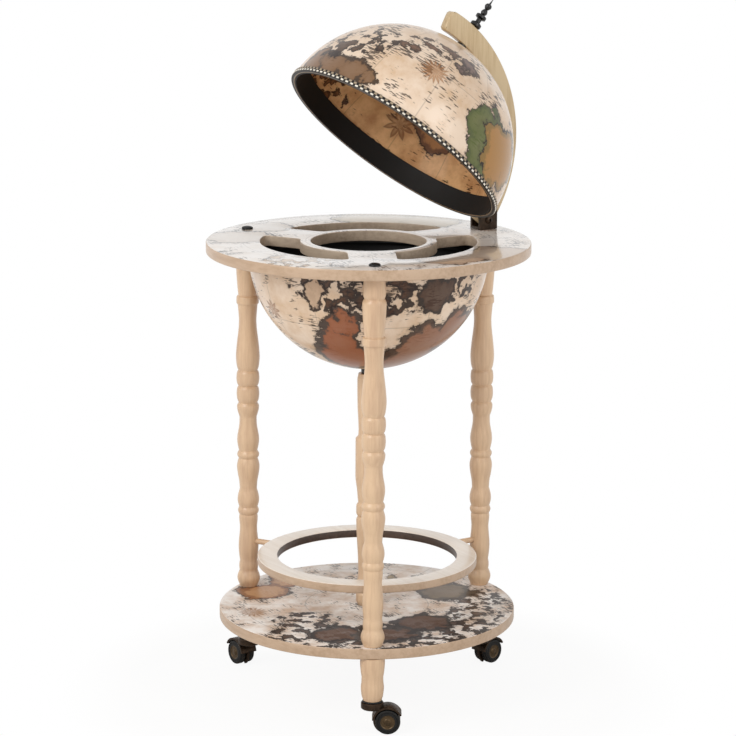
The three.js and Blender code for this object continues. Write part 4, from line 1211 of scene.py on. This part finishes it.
class GLOBEBAR_OT_rim(bpy.types.Operator):
    """The checked band round the lid's rim and the black band inside it"""

    bl_idname = "globe_bar.rim"
    bl_label = "Lid Rim Bands"

    def execute(self, context):
        dark = coloured("Dark ground of the rim band", linear("#17110D"), 0.4)
        light = coloured("Light checks of the rim band", linear("#E9E1D2"), 0.35, coat=0.4)
        tan = coloured("Tan checks of the rim band", linear("#9C8A72"), 0.35, coat=0.4)
        face = RIM_BAND_START + RIM_BAND_DEPTH - CHECK_PROUD
        outline = rounded_box_outline(RIM_BAND_START, face, 0, RIM_BAND_HEIGHT, RIM_BAND_ROUNDING)
        base = turned("checked_rim_band", outline, sizes().board_sides * 2)
        dressed(base, [dark])
        round_way = 2 * math.pi * RIM_BAND_START
        count = round(round_way / sizes().trim_pitch)
        width = CHECK_WIDTH_SHARE * round_way / count
        rows = []
        for number, (low, high) in enumerate(CHECK_ROWS):
            bpy.ops.object.select_all(action="DESELECT")
            bpy.ops.mesh.primitive_cube_add(size=1)
            check = bpy.context.active_object
            shape = Matrix.Diagonal((2 * CHECK_PROUD, width, high - low, 1))
            settled(check, Matrix.Translation((face, 0, (low + high) / 2)) @ shape)
            modified(check, "BEVEL", width=RIM_BAND_ROUNDING, segments=1)
            settled(check, Matrix.Rotation(number * math.pi / count, 4, "Z"))
            bpy.ops.object.mode_set(mode="EDIT")
            bpy.ops.mesh.select_all(action="SELECT")
            bpy.ops.mesh.spin(
                steps=count - 1, dupli=True, angle=2 * math.pi * (count - 1) / count,
                center=(0, 0, 0), axis=(0, 0, 1),
            )
            bpy.ops.mesh.select_all(action="SELECT")
            bpy.ops.mesh.normals_make_consistent(inside=False)
            bpy.ops.object.mode_set(mode="OBJECT")
            rows.append(dressed(check, [light if number == 0 else tan]))
        band = joined([base, *rows], "checked_rim_band")
        settled(band, SHUT_TO_OPEN)
        stand_for(band, "lid", "checked_band", "dome_trim")

        turns = (0, math.asin(LINING_HEIGHT / LINING_RADIUS))
        outline = arc(LINING_RADIUS, *turns, CORNER_STEPS)
        outline += arc(LINING_RADIUS - LINING_THICKNESS, *reversed(turns), CORNER_STEPS)
        lining = turned("black_lining_band", outline + outline[:1], sizes().board_sides)
        settled(lining, SHUT_TO_OPEN)
        cloth = coloured("Black lining band", linear("#0C0907"), 0.6, bump=0.1)
        stand_for(dressed(lining, [cloth]), "lid", "black_band", "dome_lining")
        return {"FINISHED"}


# Arc, finial, spacers, screw and nut of the lid
ARC_PLANE = Matrix(((0, 0, 1, 0), (1, 0, 0, 0), (0, 1, 0, 0), (0, 0, 0, 1)))
ARC_STEPS = 60
ARC_DRILL = 0.05
FINIAL_STEPS = 3
FINIAL_CREASE_SHARE = 0.2
FINIAL_ROD_END = 0.1562
FINIAL_ROD_RADIUS = 0.0025
SPACER_RADIUS = 0.007
SPACER_ROUNDING = 0.0004
SPACER_SIDES = 32
RIM_SCREW_RADIUS = 0.002
RIM_SCREW_HEAD_RADIUS = 0.004
RIM_SCREW_HEAD = 0.0025
RIM_SCREW_IN_ARC = 0.014
POLE_NUT_RADIUS = 0.0055
POLE_NUT_HEIGHT = 0.004
NUT_ROUNDING = 0.0003


class GLOBEBAR_OT_lid_arc(bpy.types.Operator):
    """The wooden arc that carries the lid, with its finial, spacers, screw and nut"""

    bl_idname = "globe_bar.lid_arc"
    bl_label = "Lid Arc and Finial"

    def execute(self, context):
        reach = PIN.z - BOARD_HIGH.z - BRACKET_PLATE - 2 * SEAT
        heel_turn = LID_OPEN - math.pi / 2
        heel_rise = (ARC_OUTER - HINGE_RADIUS - reach * math.cos(heel_turn)) * math.tan(LID_OPEN)
        heel_top = PIN_ABOVE_RIM + reach * math.sin(heel_turn) + heel_rise
        end = math.pi / 2 + ARC_PAST_POLE
        ease = ARC_CORNER_SHARE * ARC_WIDTH
        ease_turn = ease / HINGE_RADIUS
        start_turn = math.asin((PIN_ABOVE_RIM - reach) / ARC_INNER)

        outer_end = polar(ARC_OUTER - ease, end)
        inner_end = polar(ARC_INNER + ease, end)
        outline = [polar(ARC_INNER, start_turn)]
        outline += arc(reach, -math.pi / 2, heel_turn, CORNER_STEPS, (HINGE_RADIUS, PIN_ABOVE_RIM))
        outline += arc(ARC_OUTER, math.asin(heel_top / ARC_OUTER), end - ease_turn, ARC_STEPS)
        outline += bend(Vector(outline[-1]), polar(ARC_OUTER, end), outer_end, CORNER_STEPS)
        outline += [outer_end, inner_end]
        outline += bend(inner_end, polar(ARC_INNER, end), polar(ARC_INNER, end - ease_turn), CORNER_STEPS)
        outline += arc(ARC_INNER, end - ease_turn, start_turn, ARC_STEPS)[:-1]
        wooden_arc = plate("wooden_lid_arc", [outline], ARC_THICKNESS, sizes().wood_rounding)
        settled(wooden_arc, ARC_PLANE @ Matrix.Translation((0, 0, -ARC_THICKNESS / 2)))
        bored(wooden_arc, HINGE_HOLE, ARC_DRILL, (-ARC_DRILL / 2, HINGE_RADIUS, PIN_ABOVE_RIM), (1, 0, 0))
        start = ARC_INNER - DRILL_RUN_IN
        bored(wooden_arc, POLE_HOLE, ARC_DRILL, UP * start, UP)
        depth = DRILL_RUN_IN + RIM_SCREW_IN_ARC + SEAT
        bored(wooden_arc, RIM_SCREW_HOLE, depth, RIM_SCREW_WAY * start, RIM_SCREW_WAY)
        settled(smoothed(wooden_arc), SHUT_TO_OPEN)
        wood = beech("Arc of beech, lacquered", linear("#CDB690"), linear("#B3986F"), 2, 0.4, 0.3)
        stand_for(dressed(wooden_arc, [wood]), "lid", "turned_wood", "meridian_arc")

        base = ARC_OUTER + SEAT
        outline = [(0, FINIAL_ROD_END), (FINIAL_ROD_RADIUS, FINIAL_ROD_END), (FINIAL_ROD_RADIUS, base)]
        for height, width in eased(FINIAL_SHARES, FINIAL_STEPS, FINIAL_CREASE_SHARE):
            outline.append((FINIAL_RADIUS * width, base + FINIAL_HEIGHT * height))
        outline.append((0, base + FINIAL_HEIGHT))
        finial = settled(turned("turned_finial", outline, sizes().small_sides), SHUT_TO_OPEN)
        stand_for(dressed(finial, [black_lacquer()]), "lid", "black_metal", "finial")

        to_rim_screw = Matrix.Rotation(RIM_SCREW_ANGLE - math.pi / 2, 4, "X")
        low, high = GLOBE_RADIUS + CURVED_SEAT, ARC_INNER - CURVED_SEAT
        for name, hole, turn in (("pole", POLE_HOLE, Matrix()), ("rim", RIM_SCREW_HOLE, to_rim_screw)):
            outline = rounded_box_outline(hole, SPACER_RADIUS, low, high, SPACER_ROUNDING)
            spacer = settled(turned(f"dark_{name}_spacer", outline, SPACER_SIDES), SHUT_TO_OPEN @ turn)
            stand_for(dressed(spacer, [black_lacquer()]), "lid", "black_metal", f"{name}_spacer")

        start = GLOBE_RADIUS - GLOBE_WALL - CURVED_SEAT
        tip = ARC_INNER + RIM_SCREW_IN_ARC
        length = tip - start + RIM_SCREW_HEAD
        screw = screw_with_head(
            "lid_rim_screw", RIM_SCREW_RADIUS, RIM_SCREW_HEAD_RADIUS, RIM_SCREW_HEAD, length
        )
        flip = Matrix.Translation((0, 0, tip)) @ Matrix.Rotation(math.pi, 4, "X")
        settled(screw, SHUT_TO_OPEN @ to_rim_screw @ flip)
        stand_for(dressed(screw, [zinc()]), "lid", "steel", "rim_screw")
        nut = hexagon_nut("pole_hexagon_nut", POLE_NUT_RADIUS, POLE_HOLE, POLE_NUT_HEIGHT)
        settled(nut, SHUT_TO_OPEN @ Matrix.Translation((0, 0, start - POLE_NUT_HEIGHT)))
        stand_for(dressed(nut, [zinc()]), "lid", "steel", "pole_nut")
        return {"FINISHED"}


def hexagon_nut(name, radius, hole, height):
    """A hexagon nut standing on height 0, its edges eased."""
    return plate(name, [circle(radius, 6), circle(hole, HOLE_SIDES)], height, NUT_ROUNDING)


# Bracket and what is fastened to it
BRACKET_FILLET = 0.0015
FILLET_STEPS = 5
FINE_EDGE = 0.0001
HINGE_DRILL = 0.06
BRACKET_DRILL = 0.02
HEAD_HOLE = 0.0049
HEAD_HOLE_FLOOR = 0.0014
SMALL_SCREW_HOLE = 0.0018
SMALL_HEAD_HOLE = 0.0030
SMALL_HEAD_FLOOR = 0.0021
SMALL_SCREW_RADIUS = 0.0015
SMALL_SCREW_HEAD_RADIUS = 0.0027
SMALL_SCREW_HEAD = 0.0016
LEG_SCREW_HEAD = 0.002
BOLT_RADIUS = 0.003
BOLT_HEAD_RADIUS = 0.0055
BOLT_HEAD = 0.0035
HINGE_NUT_RADIUS = 0.0058
WASHER_RADIUS = 0.009
WASHER_ROUNDING = 0.0002


class GLOBEBAR_OT_hinge(bpy.types.Operator):
    """The hinge bracket on the table board, its screws, bolt, nut and washers"""

    bl_idname = "globe_bar.hinge"
    bl_label = "Hinge Bracket"

    def execute(self, context):
        low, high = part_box("hinge_bracket")
        half = (high.x - low.x) / 2
        inner = half - BRACKET_CHEEK
        tall = high.z - low.z
        deep = high.y - low.y
        fillet_height = BRACKET_PLATE + BRACKET_FILLET
        fillet_place = inner - BRACKET_FILLET
        quarter = math.pi / 2
        outline = [(-half, 0), (half, 0), (half, tall), (inner, tall)]
        outline += arc(BRACKET_FILLET, 0, -quarter, FILLET_STEPS, (fillet_place, fillet_height))
        outline += arc(BRACKET_FILLET, -quarter, -2 * quarter, FILLET_STEPS, (-fillet_place, fillet_height))
        outline += [(-inner, tall), (-half, tall)]
        bracket = plate("hinge_bracket_casting", [outline], 2 * deep, FINE_EDGE)
        standing = Matrix(((1, 0, 0, 0), (0, 0, -1, deep), (0, 1, 0, 0), (0, 0, 0, 1)))
        settled(bracket, standing)
        corner = (deep / 2 - BRACKET_CORNER, tall - BRACKET_CORNER)
        side = [(-deep / 2, -tall), (deep / 2, -tall)]
        side += arc(BRACKET_CORNER, 0, quarter, CORNER_STEPS, corner)
        side += arc(BRACKET_CORNER, quarter, 2 * quarter, CORNER_STEPS, (-corner[0], corner[1]))
        shape = plate("side_shape", [side], 4 * half, FINE_EDGE)
        settled(shape, ARC_PLANE @ Matrix.Translation((0, 0, -2 * half)))
        carved(bracket, shape, "INTERSECT")
        modified(
            bracket, "BEVEL", width=sizes().metal_rounding, segments=3, limit_method="ANGLE",
            angle_limit=SHARP_EDGE,
        )
        settled(bracket, Matrix.Translation((0, (low.y + high.y) / 2, low.z)))

        leg = LEG_PLACES["hinge"].xy
        screw_low, screw_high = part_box("bracket_screw")
        screw = (0, (screw_low.y + screw_high.y) / 2)
        bored(bracket, HINGE_HOLE, HINGE_DRILL, (-HINGE_DRILL / 2, PIN.y, PIN.z), (1, 0, 0))
        for place, radius, start in (
            (leg, HINGE_HOLE, -DRILL_RUN_IN), (leg, HEAD_HOLE, HEAD_HOLE_FLOOR),
            (screw, SMALL_SCREW_HOLE, -DRILL_RUN_IN), (screw, SMALL_HEAD_HOLE, SMALL_HEAD_FLOOR),
        ):
            bored(bracket, radius, BRACKET_DRILL, (*place, low.z + start), UP)
        smoothed(bracket)
        leg_low, leg_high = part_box("leg_screw_hinge")
        bolt_low, bolt_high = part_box("hinge_bolt")
        nut_low, nut_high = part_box("hinge_nut")
        small = screw_with_head(
            "bracket_wood_screw", SMALL_SCREW_RADIUS, SMALL_SCREW_HEAD_RADIUS, SMALL_SCREW_HEAD,
            screw_high.z - screw_low.z,
        )
        large = screw_with_head(
            "hinge_leg_screw", SCREW_RADIUS, (leg_high.x - leg_low.x) / 2, LEG_SCREW_HEAD,
            leg_high.z - leg_low.z,
        )
        bolt = screw_with_head(
            "hinge_pin_bolt", BOLT_RADIUS, BOLT_HEAD_RADIUS, BOLT_HEAD, bolt_high.x - bolt_low.x
        )
        nut = hexagon_nut("hinge_pin_nut", HINGE_NUT_RADIUS, HINGE_HOLE, nut_high.x - nut_low.x)
        settled(small, Matrix.Translation((*screw, screw_low.z)))
        settled(large, over_leg("hinge", leg_low.z))
        settled(bolt, on_pin(bolt_low.x))
        settled(nut, on_pin(nut_low.x))
        for piece, material, slot_name, stood_for in (
            (bracket, antique_bronze(), "dark_bronze", "hinge_bracket"),
            (small, antique_bronze(), "dark_bronze", "bracket_screw"),
            (large, zinc(), "steel", "leg_screw_hinge"),
            (bolt, antique_bronze(), "dark_bronze", "hinge_bolt"),
            (nut, antique_bronze(), "dark_bronze", "hinge_nut"),
        ):
            stand_for(dressed(piece, [material]), "stand", slot_name, stood_for)
        for name in ("right", "left"):
            low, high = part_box(f"friction_washer_{name}")
            outline = rounded_box_outline(HINGE_HOLE, WASHER_RADIUS, 0, high.x - low.x, WASHER_ROUNDING)
            washer = turned(f"hinge_washer_{name}", outline, sizes().small_sides)
            settled(washer, on_pin(low.x))
            stand_for(dressed(washer, [zinc()]), "stand", "steel", f"friction_washer_{name}")
        return {"FINISHED"}


# Caps
CAP_RADIUS = 0.008
CAP_RIM = 0.0014
CAP_FOOT_SHARE = 0.96
CAP_BEVEL = 0.0003


class GLOBEBAR_OT_caps(bpy.types.Operator):
    """The black caps over the two leg screws that the bracket doesn't cover"""

    bl_idname = "globe_bar.caps"
    bl_label = "Screw Caps"

    def execute(self, context):
        for name in ("front", "left"):
            low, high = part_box(f"cap_{name}")
            rise = high.z - low.z - CAP_RIM
            outline = [(0, 0), (CAP_RADIUS * CAP_FOOT_SHARE, 0), (CAP_RADIUS, CAP_BEVEL)]
            outline.append((CAP_RADIUS, CAP_RIM))
            for turn in range(10, 90, 10):
                crown = math.radians(turn)
                outline.append((CAP_RADIUS * math.cos(crown), CAP_RIM + rise * math.sin(crown)))
            outline.append((0, CAP_RIM + rise))
            cap = turned(f"screw_cap_{name}", outline, sizes().small_sides)
            settled(cap, over_leg(name, low.z))
            stand_for(dressed(cap, [black_plastic()]), "stand", "black_plastic", f"cap_{name}")
        return {"FINISHED"}


# Caster solids
WHEEL_PLANE = Matrix(((1, 0, 0, 0), (0, 0, -1, 0), (0, 1, 0, 0), (0, 0, 0, 1)))
TO_AXLE = Matrix.Translation((CASTER_TRAIL, 0, WHEEL_RADIUS))
HOOD_STEPS = 28
HOOD_EDGE = 0.00005
BOSS_BEVEL = 0.0012
BOSS_DRILL = 0.02
BOSS_DRILL_START = 0.007
WEB_INNER = 0.0055
ROOM_WIDTH = 0.08
ROOM_SIDES = 96
HUB_RADIUS = 0.0098
STEM_BELOW = 0.007
STEM_OUTLINE = [
    (0, -STEM_BELOW), (0.0036, -STEM_BELOW), (0.004, -0.0066), (0.004, 0), (0.0131, 0), (0.0135, 0.0004),
    (0.0135, 0.0016), (0.0131, 0.002), (0.004, 0.002), (0.004, 0.0219), (0.0036, 0.0223), (0, 0.0223),
]
AXLE_HOLE = 0.0028
AXLE_HOLE_DEPTH = 0.0082
TREAD_INNER = 0.0158
TREAD_ROUNDINGS = (0.0017, 0.0024)
WHEEL_FACE = [
    (0.0140, WHEEL_WIDTH), (0.0138, 0.0090), (0.0133, 0.0089), (0.0130, 0.0093), (0.0100, 0.0096),
    (0.0094, 0.0093), (0.0086, 0.0086), (0.0050, 0.0086), (0.0044, 0.0092), (0.0034, 0.0095), (0, 0.0096),
]


def caster_hood():
    """One caster's hood, boss and web, with its swivel axis on the origin and trailing towards +X."""

    def sector(radius_in, radius_out, end, half_width):
        rim = arc(radius_out, HOOD_FROM, end, HOOD_STEPS) + arc(radius_in, end, HOOD_FROM, HOOD_STEPS)
        made = plate("sector", [rim], 2 * half_width, HOOD_EDGE)
        settled(made, TO_AXLE @ WHEEL_PLANE)
        return settled(made, Matrix.Translation((0, half_width, 0)))

    hood = sector(HOOD_INNER, HOOD_OUTER, HOOD_TO, HOOD_HALF)
    low, neck = CASTER_TOP - BOSS_HEIGHT, BOSS_RADIUS - BOSS_BEVEL
    boss_outline = [
        (0, low), (neck, low), (BOSS_RADIUS, low + BOSS_BEVEL), (BOSS_RADIUS, CASTER_TOP - BOSS_BEVEL),
        (neck, CASTER_TOP), (0, CASTER_TOP),
    ]
    carved(hood, turned("boss", boss_outline, sizes().small_sides), "UNION")
    room_start = (CASTER_TRAIL, -ROOM_WIDTH / 2, WHEEL_RADIUS)
    carved(hood, cutter(HOOD_INNER, ROOM_WIDTH, room_start, (0, 1, 0), ROOM_SIDES))
    carved(hood, sector(WEB_INNER, HOOD_INNER + MM, HOOD_TO + math.pi / 3, WEB_HALF), "UNION")
    bored(hood, STUD_RADIUS + SEAT, BOSS_DRILL, (0, 0, CASTER_TOP - BOSS_DRILL_START), UP)
    modified(
        hood, "BEVEL", width=sizes().metal_rounding, segments=2, limit_method="ANGLE",
        angle_limit=SHARP_EDGE,
    )
    return smoothed(hood)


def caster_wheel():
    """One wheel, turned about the vertical axis, its closed face upwards: tread, groove and hub disc."""
    low, high = TREAD_ROUNDINGS
    outline = [(0, AXLE_HOLE_DEPTH), (AXLE_HOLE, AXLE_HOLE_DEPTH), (AXLE_HOLE, 0), (TREAD_INNER, 0)]
    outline += arc(low, -math.pi / 2, 0, 4, (WHEEL_RADIUS - low, low))
    outline += arc(high, 0, math.pi / 2, 5, (WHEEL_RADIUS - high, WHEEL_WIDTH - high))
    return turned("wheel", outline + WHEEL_FACE, sizes().small_sides)


class GLOBEBAR_OT_casters(bpy.types.Operator):
    """Three hooded casters with two wheels each"""

    bl_idname = "globe_bar.casters"
    bl_label = "Casters"

    def execute(self, context):
        hood_model = caster_hood()
        wheel_model = caster_wheel()
        tread = coloured("Black wheel tread", linear("#0B0A09"), 0.5, bump=0.2)
        hub = coloured("Bronze coloured hub disc", linear("#4E3F2C"), 0.34, metallic=0.7, wear=0.3)
        stem_model = turned("stem", STEM_OUTLINE, sizes().small_sides)
        for name in STATIONS:
            place = Matrix.Translation(LEG_PLACES[name])
            turn = place @ Matrix.Rotation(CASTER_TURNS[name], 4, "Z")
            lift = Matrix.Translation((0, 0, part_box(f"caster_stem_{name}")[0].z + STEM_BELOW))
            stem = settled(copied(stem_model, f"caster_pin_{name}"), lift)
            settled(stem, place)
            stand_for(dressed(stem, [black_lacquer()]), "stand", "black_metal", f"caster_stem_{name}")
            hood = settled(copied(hood_model, f"caster_hood_{name}"), turn)
            dressed(hood, [antique_bronze()])
            stand_for(hood, f"caster_{name}", "dark_bronze", f"caster_body_{name}")
            axle_place = turn @ TO_AXLE.translation
            axle = (turn.to_3x3() @ Vector((0, 1, 0))).normalized()

            def part(middle_of_face, normal):
                away = middle_of_face - axle_place
                off_axle = (away - axle * away.dot(axle)).length
                return 1 if off_axle < HUB_RADIUS else 0

            for side, facing in (("near", 0), ("far", math.pi)):
                outwards = TO_AXLE @ Matrix.Rotation(facing, 4, "Z") @ WHEEL_PLANE
                lift = Matrix.Translation((0, 0, WHEEL_START))
                wheel = settled(copied(wheel_model, f"caster_wheel_{side}_{name}"), turn @ outwards @ lift)
                dressed(wheel, [tread, hub], part)
                stand_for(wheel, f"{side}_wheel_{name}", "wheel_plastic", f"wheel_{side}_{name}")
        for model in (hood_model, wheel_model, stem_model):
            bpy.data.objects.remove(model)
        return {"FINISHED"}


class GLOBEBAR_OT_carried_over(bpy.types.Operator):
    """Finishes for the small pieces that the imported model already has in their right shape"""

    bl_idname = "globe_bar.carried_over"
    bl_label = "Small Pieces Carried Over"

    def execute(self, context):
        hoop_black_name = "Hoop wood, near black inside the globe"
        # The hoop inside the globe is coloured near black all over.
        hoop_wood = beech(hoop_black_name, linear("#100D0B"), linear("#070504"), 0, 0.6, 0.0)
        for name, piece in frame["nodes"].items():
            if not piece.hide_render:
                dressed(piece, [hoop_wood if name == "lower_globe_hoop" else zinc()])
        return {"FINISHED"}


# Stage: the camera is placed by the photograph's own view
VIEW_TURN = math.radians(57.59)
VIEW_PITCH = math.radians(12.49)
VIEW_ROLL = math.radians(0.29)
VIEW_DISTANCE = 4.0
VIEW_HEIGHT = 1.3524
VIEW_LENS_MM = 143.5
VIEW_FAR = 50
SENSOR_MM = 36
FLOOR_RADIUS = 9
FLOOR_SIDES = 96
SHADOW_FROM = 0.35
SHADOW_TO = 1.6
ROOM_LIGHT = 0.5
MIDDLE_OF_BAR = Vector((0, 0, 0.5))
LAMP_COLOUR = (1.0, 0.985, 0.965)
# Each lamp: way towards the camera, way to its left, height, size, watts and what it faces
LAMPS = {
    "key_lamp": (2.0, 2.2, 2.4, 1.8, 62, MIDDLE_OF_BAR),
    "fill_lamp": (2.6, -2.0, 1.2, 2.2, 11, MIDDLE_OF_BAR),
    "glint_lamp": (1.83, -2.16, 2.25, 1.2, 16, LID_CENTRE),
}


def lamp(name, place, target, size, watts):
    """A square soft lamp that faces a target."""
    bpy.ops.object.light_add(type="AREA", location=place)
    made = bpy.context.active_object
    made.name = name
    made.data.size = size
    made.data.energy = watts
    made.data.color = LAMP_COLOUR
    made.rotation_euler = (Vector(target) - Vector(place)).to_track_quat("-Z", "Y").to_euler()
    return made


class GLOBEBAR_OT_stage(bpy.types.Operator):
    """Pale floor, soft studio light, white background and the camera"""

    bl_idname = "globe_bar.stage"
    bl_label = "Studio Stage"

    def execute(self, context):
        scene = context.scene
        scene.view_settings.view_transform = "Standard"
        bpy.ops.object.select_all(action="DESELECT")
        bpy.ops.mesh.primitive_circle_add(vertices=FLOOR_SIDES, radius=FLOOR_RADIUS, fill_type="NGON")
        floor = bpy.context.active_object
        floor.name = "studio_floor"
        material, tree, shader = new_material("Pale studio floor")
        place = node(tree, "TexCoord").outputs["Object"]
        away = node(tree, "VectorMath", {0: place}, operation="LENGTH").outputs["Value"]
        fade = node(
            tree, "MapRange", {"Value": away, "From Min": SHADOW_FROM, "From Max": SHADOW_TO}
        ).outputs[0]
        seen = node(tree, "LightPath").outputs["Is Camera Ray"]
        fade = node(
            tree, "Math", {0: seen, 1: 0.92, 2: fade}, operation="MULTIPLY_ADD", use_clamp=True
        ).outputs[0]
        shader.inputs["Base Color"].default_value = linear("#F4F3F1")
        shader.inputs["Roughness"].default_value = 0.9
        white = node(tree, "Emission", {"Color": (1, 1, 1, 1), "Strength": 1.0}).outputs[0]
        mixed = node(tree, "MixShader", {0: fade, 1: shader.outputs[0], 2: white})
        tree.links.new(mixed.outputs[0], tree.nodes["Material Output"].inputs["Surface"])
        floor.data.materials.append(material)

        world = bpy.data.worlds.new("White studio")
        world.use_nodes = True
        scene.world = world
        tree = world.node_tree
        tree.nodes.clear()
        path = node(tree, "LightPath")
        seen = path.outputs["Is Camera Ray"]
        for kind in ("Glossy", "Transmission"):
            ray = path.outputs[f"Is {kind} Ray"]
            seen = node(tree, "Math", {0: seen, 1: ray}, operation="MAXIMUM").outputs[0]
        lighting = node(tree, "Background", {"Color": (1, 1, 1, 1), "Strength": ROOM_LIGHT}).outputs[0]
        backdrop = node(tree, "Background", {"Color": (1, 1, 1, 1), "Strength": 1.0}).outputs[0]
        mixed = node(tree, "MixShader", {0: seen, 1: lighting, 2: backdrop}).outputs[0]
        node(tree, "OutputWorld", {"Surface": mixed})

        towards = Vector((math.sin(VIEW_TURN), -math.cos(VIEW_TURN), 0))
        left = Vector((-math.cos(VIEW_TURN), -math.sin(VIEW_TURN), 0))
        for name, (forward, sideways, height, size, watts, target) in LAMPS.items():
            lamp(name, towards * forward + left * sideways + UP * height, target, size, watts)

        bpy.ops.object.camera_add()
        camera = bpy.context.active_object
        camera.name = "photo_camera"
        camera.data.sensor_width = SENSOR_MM
        camera.data.lens = VIEW_LENS_MM
        camera.data.clip_end = VIEW_FAR
        camera.location = AXIS + towards * VIEW_DISTANCE + UP * VIEW_HEIGHT
        camera.rotation_euler = (
            Matrix.Rotation(VIEW_TURN, 3, "Z")
            @ Matrix.Rotation(math.pi / 2 - VIEW_PITCH, 3, "X")
            @ Matrix.Rotation(VIEW_ROLL, 3, "Z")
        ).to_euler()
        scene.camera = camera
        return {"FINISHED"}


PIECE_OPERATORS = (
    GLOBEBAR_OT_legs,
    GLOBEBAR_OT_feet,
    GLOBEBAR_OT_column,
    GLOBEBAR_OT_boards,
    GLOBEBAR_OT_ring,
    GLOBEBAR_OT_lower_globe,
    GLOBEBAR_OT_dome,
    GLOBEBAR_OT_rim,
    GLOBEBAR_OT_lid_arc,
    GLOBEBAR_OT_hinge,
    GLOBEBAR_OT_caps,
    GLOBEBAR_OT_casters,
    GLOBEBAR_OT_carried_over,
    GLOBEBAR_OT_stage,
)


class GLOBEBAR_PT_panel(bpy.types.Panel):
    """Lists the globe bar's pieces and their settings"""

    bl_idname = "GLOBEBAR_PT_panel"
    bl_label = "Globe Bar"
    bl_space_type = "VIEW_3D"
    bl_region_type = "UI"
    bl_category = "Globe Bar"

    def draw(self, context):
        layout = self.layout
        for settings in (context.scene.globe_bar_sizes, context.scene.globe_bar_finishes):
            box = layout.box()
            for name in settings.__annotations__:
                box.prop(settings, name)
        for operator in PIECE_OPERATORS:
            layout.operator(operator.bl_idname)


CLASSES = (GlobeBarSizes, GlobeBarFinishes, *PIECE_OPERATORS, GLOBEBAR_PT_panel)


def register():
    """Registers the classes and the scene's settings."""
    for cls in CLASSES:
        bpy.utils.register_class(cls)
    bpy.types.Scene.globe_bar_sizes = bpy.props.PointerProperty(type=GlobeBarSizes)
    bpy.types.Scene.globe_bar_finishes = bpy.props.PointerProperty(type=GlobeBarFinishes)


def unregister():
    """Takes the settings and the classes away again."""
    del bpy.types.Scene.globe_bar_finishes
    del bpy.types.Scene.globe_bar_sizes
    for cls in reversed(CLASSES):
        bpy.utils.unregister_class(cls)


def main():
    """Builds the bar and its stage."""
    register()
    for operator in PIECE_OPERATORS:
        group, name = operator.bl_idname.split(".")
        getattr(getattr(bpy.ops, group), name)()


if __name__ == "__main__":
    main()
